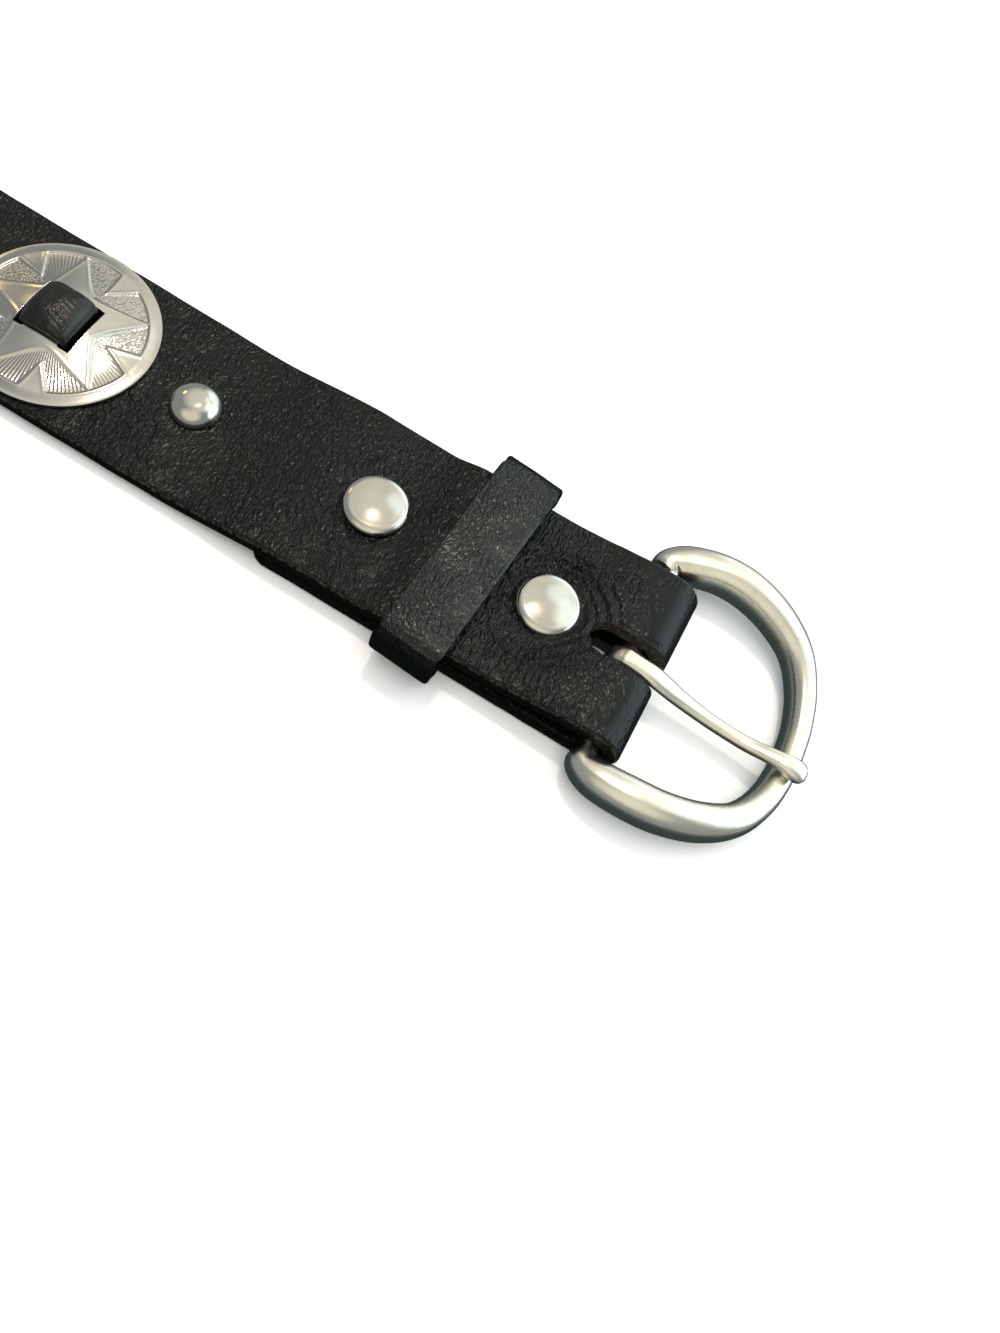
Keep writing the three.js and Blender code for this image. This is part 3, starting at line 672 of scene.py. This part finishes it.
KEEPER_MIDDLE = (KEEPER_LOW + KEEPER_HIGH) / 2
KEEPER_WIDTH, KEEPER_HALF, KEEPER_SKEW = 12.8, 23.8, math.radians(-3.8)
KEEPER_CORNER = 3.1
half_wall = KEEPER_WALL / 2
floor, ceiling = KEEPER_LOW[2] + half_wall, KEEPER_HIGH[2] - half_wall
loop, loop_out = rounded_loop(KEEPER_HALF - half_wall, floor, ceiling, KEEPER_CORNER, 12)
loop, loop_out = resampled(loop, loop_out, 220)
strip = section_shares(16, 16, 4)
edge_radius = 0.62
strip_x = strip[:, 0] * (KEEPER_WIDTH / 2 - edge_radius) + strip[:, 1] * edge_radius
strip_up = strip[:, 2] * (half_wall - edge_radius) + strip[:, 3] * edge_radius
roof = smooth(loop_out[:, 1], 0.3, 0.9)[:, None] * (abs(loop[:, :1]) < 24)
bow = roof * -0.95 * (loop[:, :1] / KEEPER_HALF) ** 4
bow = bow - roof * 0.3 * (strip_x / (KEEPER_WIDTH / 2)) ** 2
thick = strip_up + (strip_up > 0) * 0.24 * (noise(strip_x, loop[:, :1], 5.0, 5.5, 21) - 1) + bow
y = loop[:, :1] + loop_out[:, :1] * thick
z = loop[:, 1:] + loop_out[:, 1:] * thick
bend = (2 * loop_out[:, :1] * loop_out[:, 1:]) ** 2
x = strip_x * (1 - 0.06 * bend + 0.012 * noise(loop[:, :1], 0, 7.0, 1.0, 22))
cos, sin = math.cos(KEEPER_SKEW), math.sin(KEEPER_SKEW)
keeper_x = KEEPER_MIDDLE[0] + cos * x - sin * y
keeper_y = KEEPER_MIDDLE[1] + sin * x + cos * y
keeper_grid = np.stack([keeper_x, keeper_y, z], -1)
# The grain face of the loop's two ends carries the cut-edge mark, so it is painted dark and dull there:
# painted shade. The strip's real cut edges and its inner face carry the mark too.
shaded_loop_ends = smooth(abs(loop_out[:, :1]), 0.35, 0.85) + 0 * strip_x
cut_edge_and_shaded_ends = np.maximum(shaded_loop_ends, (strip[:, 3] < 0.5) + 0 * shaded_loop_ends)
keeper_marks = {"edge": cut_edge_and_shaded_ends, "bevel": 0.2 * shaded_loop_ends}
keeper = surface("keeper_loop", keeper_grid, along=True, marks=keeper_marks, sharp=60)
keeper.data.materials.append(KEEPER_LEATHER)
report(keeper)
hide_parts("keeper")
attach(keeper, "belt")

# %% [markdown]
# Snaps and dome studs are turned shapes: a profile of radius and height, turned round. The cap of a
# snap is almost flat with a rolled rim. The stud is a small tall dome with a thin foot.


# %% Turned pieces
def rounded_profile(rows, count):
    """The profile's own points, with each marked corner replaced by a short quadratic curve.

    A row is (radius, height, softness): the curve starts and ends that far from the corner."""
    rows = np.asarray(rows, float)
    out = []
    for i, (r, z, soft) in enumerate(rows):
        here = np.array([r, z])
        if soft == 0 or i in (0, len(rows) - 1):
            out.append(here[None])
            continue
        before, after = rows[i - 1, :2] - here, rows[i + 1, :2] - here
        start = here + before / np.linalg.norm(before) * soft
        end = here + after / np.linalg.norm(after) * soft
        t = np.linspace(0, 1, count)[:, None]
        out.append((1 - t) ** 2 * start + 2 * t * (1 - t) * here + t**2 * end)
    return np.concatenate(out)


def turned(name, profile, x, y, base, sides):
    """A profile of (radius, height) turned round the upright line through (x, y)."""
    angle = np.linspace(0, 2 * np.pi, sides, endpoint=False)
    radius, height = np.maximum(profile[:, 0], 0.01)[:, None], profile[:, 1][:, None]
    grid = np.stack(
        [x + radius * np.cos(angle), y + radius * np.sin(angle), base + height + 0 * angle], -1
    )
    return surface(name, grid, sharp=35)


def dome_rows(radius, low, crown, count):
    """Points from the edge of a shallow dome to its top: height falls with the square of the radius."""
    r = np.linspace(radius, 0, count)
    return np.stack([r, low + crown * (1 - (r / radius) ** 2)], -1)


SEAT_GAP = 0.05


def snap_profile(face):
    """Foot, post and cap, the cap sitting at the height of the leather's face."""
    foot = [(0, 0, 0), (4.5, 0, 0.25), (4.5, 0.9, 0.25), (2.0, 0.9, 0), (2.0, face, 0)]
    cap = [(5.6, face, 0), (6.35, face + 0.02, 0.35), (6.3, face + 1.05, 0.75), (5.2, face + 1.42, 0.3)]
    ends = [(4.8, face + 1.47, 0)]
    top = dome_rows(4.8, face + 1.47, 0.43, 12)[1:]
    return np.concatenate([rounded_profile(foot + cap + ends, 5), top])


for name, snap, under in (("snap_1", SNAP_1, UPPER_AT_SNAP), ("snap_2", SNAP_2, UPPER_AT_KEEPER)):
    face = under + THICKNESS + SEAT_GAP
    cap = turned(name + "_cap", snap_profile(face), snap[0], snap[1], 0, 72)
    cap.data.materials.append(POLISHED)
    report(cap)
    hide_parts(name)
    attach(cap, "belt")


def stud_profile():
    """Foot, post and bowl; the bowl's radius falls with a low power of the cosine, so its sides are
    steep and its top is round."""
    back = -THICKNESS - SEAT_GAP
    foot = [(0, back - 0.9, 0), (3.5, back - 0.9, 0.2), (3.5, back, 0.2), (1.4, back, 0)]
    rim = [(1.4, SEAT_GAP, 0), (4.7, SEAT_GAP, 0)]
    turn = np.linspace(0, np.pi / 2, 26)
    bowl = np.stack([4.98 * np.cos(turn) ** 0.78, 0.3 + 3.05 * np.sin(turn)], -1)
    return np.concatenate([rounded_profile(foot + rim, 5), bowl])


RUN_TOP = LACE_BACK + THICKNESS
for i, middle in enumerate(DOMES):
    stud = turned("dome_%d" % (i + 1), stud_profile(), middle[0], middle[1], RUN_TOP, 56)
    stud.data.materials.append(POLISHED)
    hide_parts("dome_stud_%d" % (i + 1))
    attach(stud, "belt")
report(stud)

# %% [markdown]
# A concho is sheet metal struck between two dies. Its face is a height over the disc: a shallow dome,
# a smooth rim, and a star that stays polished because the five fields between its points are struck
# down. A wedge that runs in from the rim splits each field into two wings, one pebbled and one
# hatched. All of that is one function of radius and angle, so one grid makes the whole face.

# %% The face of a concho
RIM_INNER = 16.0
STAR_REACH = RIM_INNER * 0.985
STAR_VALLEY = 0.47
STAR_TURN = math.radians(36)
NOTCH_START = 0.64 * RIM_INNER
NOTCH_HALF = 2.5
PLATE, RISE, FACE = 0.8, 2.5, 0.3
SPOKE = 2.6


def dome_height(r):
    """PLATE at the edge and RISE more in the middle, by the square of a cosine: flat at both."""
    return PLATE + RISE * np.cos(np.pi / 2 * np.clip(r / CONCHO_RADIUS, 0, 1)) ** 2


def concho_face(r, angle):
    """Height, and the marks of the stamped fields, at radius r and angle.

    The star's side is the straight line from its point to its valley, in polar form. inside is the
    distance into a wing from the nearest of the star, the rim and the wedge."""
    sector = 2 * np.pi / 5
    from_point = (angle - STAR_TURN + sector / 2) % sector - sector / 2
    a = abs(from_point)
    valley_x = STAR_VALLEY * STAR_REACH * np.cos(sector / 2)
    valley_y = STAR_VALLEY * STAR_REACH * np.sin(sector / 2)
    line_r = STAR_REACH * valley_y / (valley_y * np.cos(a) + (STAR_REACH - valley_x) * np.sin(a))
    line_r = line_r * (1 - 0.05 * np.sin(np.pi * a / (sector / 2)))
    to_star = (r - line_r) * 0.55
    aside = r * np.sin(sector / 2 - a)
    wedge = NOTCH_HALF * np.clip((r - NOTCH_START) / (RIM_INNER - NOTCH_START), 0, 1.4)
    to_wedge = np.where(r > NOTCH_START, (aside - wedge) * 0.93, np.hypot(aside, NOTCH_START - r))
    inside = np.minimum(np.minimum(to_star, RIM_INNER - r), to_wedge)
    struck = r > 5
    sunk = smooth(inside, 0.0, 0.45)
    lip = np.exp(-(((inside + 0.15) / 0.25) ** 2)) * struck
    hollow = np.exp(-(((inside - 0.15) / 0.16) ** 2)) * struck
    rim_fall = smooth(r, RIM_INNER, CONCHO_RADIUS)
    height = dome_height(r) + FACE - 0.25 * sunk + 0.06 * lip - FACE * rim_fall
    filled = smooth(inside, 0.25, 0.6)
    sector_number = np.floor((angle - STAR_TURN) / sector + 0.5).astype(int) % 5
    hatched = ((from_point > 0) & (sector_number != 0)) | (sector_number == 4)
    spoke = np.degrees(a) / SPOKE + 0 * r
    marks = {"stipple": filled * ~hatched, "hatch": filled * hatched, "spoke": spoke}
    return height, marks | {"hollow": hollow}


angle = np.linspace(0, 2 * np.pi, 300, endpoint=False)
under_r = np.linspace(0.02, CONCHO_RADIUS - 0.25, 8)[:, None]
rim_r = np.linspace(CONCHO_RADIUS, RIM_INNER + 0.3, 9)
star_r, middle_r = np.linspace(RIM_INNER + 0.1, 6.0, 50), np.linspace(5.2, 0.02, 6)
top_r = np.concatenate([rim_r, star_r, middle_r])[:, None]
face_z, face_marks = concho_face(top_r, angle)
under_z = RISE * (1 - (under_r / CONCHO_RADIUS) ** 2) + 0 * angle
edge_r = np.array([CONCHO_RADIUS, CONCHO_RADIUS + 0.02])[:, None]
edge_z = np.array([0.2, 0.45])[:, None] + 0 * angle
all_r = np.concatenate([under_r, edge_r, top_r]) + 0 * angle
all_z = np.concatenate([under_z, edge_z, face_z])
blank = np.zeros((len(under_r) + len(edge_r), len(angle)))
concho_marks = {label: np.concatenate([blank, values]) for label, values in face_marks.items()}
plate_grid = np.stack([all_r * np.cos(angle), all_r * np.sin(angle), all_z], -1)
plate = surface("concho_plate", plate_grid, marks=concho_marks, sharp=45)
plate.data.materials.append(STAMPED)
slots = [prism(box_outline(side * LACE_X, 0, 1.15, 5.7, 0.3), -1, 6) for side in (-1, 1)]
cutters = [surface("concho_slot", slot) for slot in slots]
solved(plate, joined(cutters, "concho_slots"), "DIFFERENCE")
report(plate)


# %% The same plate on each of its places
def copy_at(piece, name, shift):
    """A copy of a finished piece with its mesh shifted by millimetres; its object stays at zero."""
    mesh = piece.data.copy()
    mesh.transform(Matrix.Translation(Vector(shift) * MM))
    made = bpy.data.objects.new(name, mesh)
    bpy.context.scene.collection.objects.link(made)
    return made


SEAT = RUN_TOP + SEAT_GAP
for i, middle in enumerate(CONCHOS):
    disc = copy_at(plate, "concho_disc_%d" % (i + 1), (middle[0], 0.0, SEAT))
    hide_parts("concho_%d" % (i + 1))
    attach(disc, "belt")
bpy.data.objects.remove(plate)

# %% [markdown]
# Each concho is held by a short lace: a soft strip that comes up through one slot, crosses the bar
# between the two slots and goes down through the other. Where it crosses, it is squeezed at the sides
# and puffs up in the middle, with small ripples across it. The strip's section is carried round a
# closed line, and the puff is added to its outer side.


# %% The laces
BAR_TOP = RUN_TOP + SEAT_GAP + PLATE + RISE + FACE
LACE_WIDTH = 10.8
LACE_RUN = 4.55


def lace_grid(seed):
    """The strip's section carried round its closed line, swollen by (1 - y^2) above the bar."""
    bottom, top = 0.58, BAR_TOP + 0.85
    rows = [(0, bottom, 0), (LACE_RUN, bottom, 0.5), (LACE_RUN, top, 2.9)]
    rows += [(-LACE_RUN, top, 2.9), (-LACE_RUN, bottom, 0.5), (0, bottom, 0)]
    ring = rounded_profile(rows, 11)[:-1]
    ring, _ = resampled(ring, ring - np.array([0, top / 2]), 132)
    along = np.roll(ring, -1, axis=0) - np.roll(ring, 1, axis=0)
    along /= np.linalg.norm(along, axis=1, keepdims=True)
    out = np.stack([along[:, 1], -along[:, 0]], -1)
    strip = section_shares(26, 10, 5)
    on_top = smooth(ring[:, 1], BAR_TOP - 1.5, BAR_TOP + 0.6)[:, None]
    half = 0.52 + 0.33 * on_top
    half_y = LACE_WIDTH / 2 - 0.25 + 0.25 * on_top
    soft = np.minimum(0.45 + 0.35 * on_top, 0.9 * half)
    y = strip[:, 0] * (half_y - soft) + strip[:, 1] * soft
    up = strip[:, 2] * (half - soft) + strip[:, 3] * soft
    outer = smooth(strip[:, 3], 0.0, 1.0) * (strip[:, 2] > 0)
    share = np.clip(1 - (y / (LACE_WIDTH / 2)) ** 2, 0, 1)
    arch = np.clip(1 - (ring[:, :1] / 5.6) ** 2, 0, 1)
    puff = on_top * outer * (1.55 * share**0.6 * (0.25 + 0.75 * arch) - 0.35)
    puff += 0.13 * outer * noise(ring[:, :1], y, 1.5, 2.4, seed + 1) * on_top
    ripple = np.cos(2 * np.pi * (y + 0.3 * ring[:, :1]) / 1.1)
    dents = ripple * np.exp(-(((ring[:, :1] - 1.6) / 1.3) ** 2))
    puff += 0.12 * on_top * outer * dents
    up = up + puff
    return np.stack([ring[:, :1] + out[:, :1] * up, y + 0 * up, ring[:, 1:] + out[:, 1:] * up], -1)


for i, middle in enumerate(CONCHOS):
    grid = lace_grid(40 + 2 * i) + np.array([middle[0], 0, 0])
    lace = surface("lace_strip_%d" % (i + 1), grid, along=True, sharp=70)
    lace.data.materials.append(LACE_LEATHER)
    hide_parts("lace_%d" % (i + 1))
    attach(lace, "belt")
report(lace)

# %% [markdown]
# The buckle is cast: a D whose arms are widest beside the bar and slim down towards the front. A few
# stations give its middle line, width and height; a smooth curve through them carries the section,
# which is flat below, nearly upright at the sides and crowned on top.


# %% A smooth curve through stations
def through(rows, per_step, closed=False):
    """Catmull-Rom: between two stations, the cubic whose slopes are half the difference of their
    neighbours. rows is (stations, values)."""
    rows = np.asarray(rows, float)
    if closed:
        padded = np.concatenate([rows[-1:], rows, rows[:2]])
    else:
        padded = np.concatenate([2 * rows[:1] - rows[1:2], rows, 2 * rows[-1:] - rows[-2:-1]])
    t = np.linspace(0, 1, per_step, endpoint=False)[:, None, None]
    a, b, c, d = padded[:-3], padded[1:-2], padded[2:-1], padded[3:]
    curve = 0.5 * (
        2 * b + (c - a) * t + (2 * a - 5 * b + 4 * c - d) * t**2 + (3 * b - a - 3 * c + d) * t**3
    )
    curve = curve.transpose(1, 0, 2).reshape(-1, rows.shape[1])
    return curve if closed else np.concatenate([curve, rows[-1:]])


# %% The buckle's frame
BAR_RADIUS = 2.2
REACH, HALF_SPAN, ARM_WIDTH, ARM_HEIGHT = 36.3, 25.6, 7.8, 6.2
FRAME_X, FRAME_Y, FRAME_YAW = BAR_X - 0.85, 1.2, math.radians(3.2)
# Shares: out along the reach, to the side of the half span, width, height, underside's height.
FRAME_ROWS = [
    (-0.02, 0.84, 0.58, 0.72, 1.0),
    (0.005, 0.92, 0.76, 0.82, 1.02),
    (0.1, 0.975, 0.92, 0.95, 1.12),
    (0.27, 1.0, 1.0, 1.0, 1.35),
    (0.455, 0.985, 0.99, 1.0, 1.35),
    (0.655, 0.9, 0.94, 0.97, 1.15),
    (0.83, 0.74, 0.84, 0.9, 0.88),
    (0.94, 0.49, 0.76, 0.84, 0.65),
    (0.99, 0.22, 0.71, 0.82, 0.54),
    (1.0, 0.0, 0.7, 0.82, 0.5),
]
FRAME_SECTION = [
    (-0.86, 0.0), (0.0, -0.01), (0.86, 0.0), (0.99, 0.16), (0.97, 0.5), (0.78, 0.8), (0.42, 0.97),
    (0.0, 1.01), (-0.42, 0.97), (-0.78, 0.8), (-0.97, 0.5), (-0.99, 0.16),
]


def turned_about(points, yaw, x, y):
    """Points turned about the upright line by yaw and then moved to (x, y)."""
    cos, sin = math.cos(yaw), math.sin(yaw)
    px, py = points[..., 0], points[..., 1]
    return np.stack([x + cos * px - sin * py, y + sin * px + cos * py, points[..., 2]], -1)


half = np.array(FRAME_ROWS) * [REACH, HALF_SPAN, ARM_WIDTH, ARM_HEIGHT, BAR_Z - BAR_RADIUS]
far_half = half.copy()
heel_inward = 1.5 * (1 - smooth(half[:, 0], 0.0, 7.0))
far_half[:, 1] -= heel_inward / 2
far_half[:, 2] += heel_inward
whole = through(np.concatenate([far_half, half[-2::-1] * [1, -1, 1, 1, 1]]), 10)
along = np.gradient(whole[:, :2], axis=0)
along /= np.linalg.norm(along, axis=1, keepdims=True)
aside = np.stack([-along[:, 1], along[:, 0]], -1)
shape = through(FRAME_SECTION, 4, closed=True)
frame_across = shape[:, 0] * whole[:, 2:3] / 2
frame_x = whole[:, :1] + aside[:, :1] * frame_across
frame_y = whole[:, 1:2] + aside[:, 1:] * frame_across
frame_z = whole[:, 4:5] + shape[:, 1] * whole[:, 3:4]
frame_grid = np.stack([frame_x, frame_y, frame_z], -1)
frame_grid = turned_about(frame_grid, FRAME_YAW, FRAME_X, FRAME_Y)
buckle = surface("buckle_casting", frame_grid, sharp=55)
bar_turn = np.linspace(0, 2 * np.pi, 40, endpoint=False)
bar_ends = np.array([-1, 1])[:, None] * HALF_SPAN * 0.92
bar_x = BAR_RADIUS * np.cos(bar_turn) + 0 * bar_ends
bar_z = BAR_Z + BAR_RADIUS * np.sin(bar_turn) + 0 * bar_ends
bar_grid = np.stack([bar_x, bar_ends + 0 * bar_turn, bar_z], -1)
bar = surface("heel_bar", turned_about(bar_grid, FRAME_YAW, FRAME_X, FRAME_Y))
solved(buckle, bar, "UNION")
buckle.data.materials.clear()
buckle.data.materials.append(SATIN)
report(buckle)
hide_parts("buckle_frame")
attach(buckle, "frame")

# %% [markdown]
# The tongue is a strip bent round the bar. From the loop it widens out of the slot, narrows and dips
# across the opening, and ends in a rounded knob that rests on the front of the frame.

# %% The buckle's tongue
TONGUE_WIDTH, TONGUE_THICK, TONGUE_CLEAR = 4.0, 2.3, 0.25
TONGUE_Y, TONGUE_YAW = -0.9, math.radians(-2.4)
TONGUE_X = FRAME_X + (FRAME_Y - TONGUE_Y) * math.tan(FRAME_YAW)
LOOP_RADIUS = BAR_RADIUS + TONGUE_CLEAR + TONGUE_THICK / 2
TONGUE_END = REACH + ARM_WIDTH * 0.7 / 2 + 0.2
FRONT_TOP = 0.5 * (BAR_Z - BAR_RADIUS) + 0.82 * ARM_HEIGHT
REST = FRONT_TOP + FIT + TONGUE_THICK * 1.3 / 2
LOOP_TOP = BAR_Z + LOOP_RADIUS
DIP = 2.6
# Shares: out along the shank, dip below the straight way, width, thickness.
TONGUE_ROWS = [
    (0.12, 0.1, 1.0, 1.0),
    (0.2, 0.35, 0.98, 1.0),
    (0.32, 0.75, 0.84, 1.0),
    (0.5, 1.0, 0.72, 1.0),
    (0.68, 0.8, 0.72, 1.0),
    (0.81, 0.2, 0.8, 1.0),
    (0.87, -0.02, 0.9, 1.12),
    (0.91, -0.04, 1.08, 1.28),
    (0.955, 0.0, 1.1, 1.25),
    (0.985, 0.02, 0.92, 1.0),
    (1.0, 0.03, 0.55, 0.5),
]
turn = np.radians(np.linspace(-50, -262, 16))
loop_x, loop_z = LOOP_RADIUS * np.cos(turn), BAR_Z + LOOP_RADIUS * np.sin(turn)
loop_rows = np.stack([loop_x, loop_z, 0 * turn + TONGUE_WIDTH, 0 * turn + TONGUE_THICK], -1)
out, dip, wide, thick = np.array(TONGUE_ROWS).T
shank_z = LOOP_TOP + (REST - LOOP_TOP) * out - dip * DIP
shank_rows = np.stack([out * TONGUE_END, shank_z, wide * TONGUE_WIDTH, thick * TONGUE_THICK], -1)
tongue_line = through(np.concatenate([loop_rows, shank_rows]), 6)
along = np.gradient(tongue_line[:, :2], axis=0)
along /= np.linalg.norm(along, axis=1, keepdims=True)
turn = np.linspace(0, 2 * np.pi, 32, endpoint=False)
round_y = np.sign(np.cos(turn)) * abs(np.cos(turn)) ** 0.75 * tongue_line[:, 2:3] / 2
round_up = np.sign(np.sin(turn)) * abs(np.sin(turn)) ** 0.75 * tongue_line[:, 3:4] / 2
tongue_x = tongue_line[:, :1] - along[:, 1:] * round_up
tongue_z = tongue_line[:, 1:2] + along[:, :1] * round_up
tongue_grid = np.stack([tongue_x, round_y, tongue_z], -1)
tongue_grid = turned_about(tongue_grid, TONGUE_YAW, TONGUE_X, TONGUE_Y)
tongue = surface("buckle_prong", tongue_grid, sharp=60)
tongue.data.materials.append(SATIN)
report(tongue)
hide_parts("buckle_tongue")
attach(tongue, "tongue")

# %% [markdown]
# A product picture of a dark strap and bright fittings wants a white table, a big soft light for the
# leather to glint in, and something small and warm for the metal to pick up. The metal mirrors the
# lights themselves, so their sizes and colours are chosen for what shows in the caps. The air glows
# softly from some directions above and is a dim teal from below, as over a dark floor.


# %% The table, the lights and the air
def area_light(name, place, aim, size, power, colour):
    """A rectangular light at place, facing aim, both in belt millimetres."""
    lamp = bpy.data.lights.new(name, "AREA")
    lamp.shape, lamp.size, lamp.size_y = "RECTANGLE", size[0] * MM, size[1] * MM
    lamp.energy, lamp.color = power, colour
    thing = bpy.data.objects.new(name, lamp)
    where, target = Vector((np.array(place) + ZERO) * MM), Vector((np.array(aim) + ZERO) * MM)
    thing.location = where
    thing.rotation_euler = (target - where).to_track_quat("-Z", "Y").to_euler()
    bpy.context.scene.collection.objects.link(thing)
    return thing


TABLE_SIZE = 4000.0
table_points = np.array([[-1, -1, 0], [1, -1, 0], [1, 1, 0], [-1, 1, 0]]) * TABLE_SIZE - [0, 0, 0.15]
table_mesh = bpy.data.meshes.new("table")
table_mesh.from_pydata(((table_points + ZERO) * MM).tolist(), [], [[0, 1, 2, 3]])
table = bpy.data.objects.new("table", table_mesh)
bpy.context.scene.collection.objects.link(table)
white = Finish("table_white")
table_mesh.materials.append(white.shade(Base_Color=(0.93, 0.93, 0.93, 1), Roughness=0.9))

# Direction from the belt, half width of its bright middle and of its soft border in degrees, colour.
GLOWS = [
    ((0.04, 0.50, 0.86), 12, 48, (0.50, 0.47, 0.39)),
    ((0.08, 0.63, 0.77), 3, 12, (0.34, 0.44, 0.50)),
    ((0.21, 0.93, 0.30), 8, 30, (0.85, 1.0, 1.05)),
    ((0.82, 0.43, 0.38), 10, 34, (1.7, 2.0, 2.1)),
    ((0.05, -0.62, 0.78), 12, 42, (0.58, 0.53, 0.41)),
    ((0.40, 0.44, 0.80), 5, 20, (0.55, 0.68, 0.70)),
    ((-0.10, 0.26, 0.96), 2, 9, (0.40, 0.27, 0.10)),
    ((-0.66, 0.43, 0.61), 1, 6, (1.9, 1.3, 0.48)),
]
BASE_LIGHT = (0.26, 0.26, 0.27)
FROM_BELOW = (0.036, 0.054, 0.058)


class Air(Finish):
    """The light from all round, built from nodes as a finish is."""

    def __init__(self, name):
        self.block = bpy.data.worlds.new(name)
        bpy.context.scene.world = self.block
        self.block.use_nodes = True
        self.tree = self.block.node_tree
        self.surface = self.tree.nodes["Background"]


air = Air("studio_air")
direction = air.add("ShaderNodeTexCoord", output="Generated")
DOT, SCALE_AND_ADD = {"operation": "DOT_PRODUCT"}, {"operation": "MULTIPLY_ADD"}
total = BASE_LIGHT
for toward, inner, outer, colour in GLOWS:
    unit = tuple(np.array(toward) / np.linalg.norm(toward))
    facing = air.add("ShaderNodeVectorMath", DOT, {0: direction, 1: unit}, output="Value")
    share = air.step(facing, math.cos(math.radians(outer)), math.cos(math.radians(inner)))
    total = air.add("ShaderNodeVectorMath", SCALE_AND_ADD, {0: share, 1: colour, 2: total})
height = air.add("ShaderNodeVectorMath", DOT, {0: direction, 1: (0, 0, 1)}, output="Value")
above = air.step(height, -0.5, -0.2)
air.shade(Color=air.add("ShaderNodeVectorMath", SCALE_AND_ADD, {0: total, 1: above, 2: FROM_BELOW}))
print("glows", len(GLOWS))

area_light("lamp", (-225, 405, 1442), (-45, 0, 10), (60, 60), 4.8, (1.0, 0.90, 0.74))
fill = area_light("fill", (-60, -100, 1500), (-60, 0, 0), (1500, 1500), 18, (1, 1, 1))
fill.visible_glossy = False
table.visible_glossy = False

# %% [markdown]
# The camera stands where the photograph was taken from: above the near side of the buckle end, looking
# down, and rolled so that the belt runs across the picture from upper left to lower right.

# %% The camera
CAMERA_PLACE = (-30.9, -96.3, 185.8)
CAMERA_AIM = (-27.1, -11.4, 0.0)
CAMERA_ROLL = 33.4
LENS_PER_SENSOR = 1077.5 / 1333
camera_data = bpy.data.cameras.new("camera")
camera_data.sensor_width = 36.0
camera_data.lens = 36.0 * LENS_PER_SENSOR
camera_data.clip_start, camera_data.clip_end = 0.01, 20.0
camera = bpy.data.objects.new("camera", camera_data)
bpy.context.scene.collection.objects.link(camera)
eye, aim = (Vector((np.array(p) + ZERO) * MM) for p in (CAMERA_PLACE, CAMERA_AIM))
facing = (aim - eye).to_track_quat("-Z", "Y").to_matrix().to_4x4()
roll = Matrix.Rotation(math.radians(CAMERA_ROLL), 4, "Z")
camera.matrix_world = Matrix.Translation(eye) @ facing @ roll
bpy.context.scene.camera = camera
bpy.context.scene.view_settings.view_transform = "Standard"
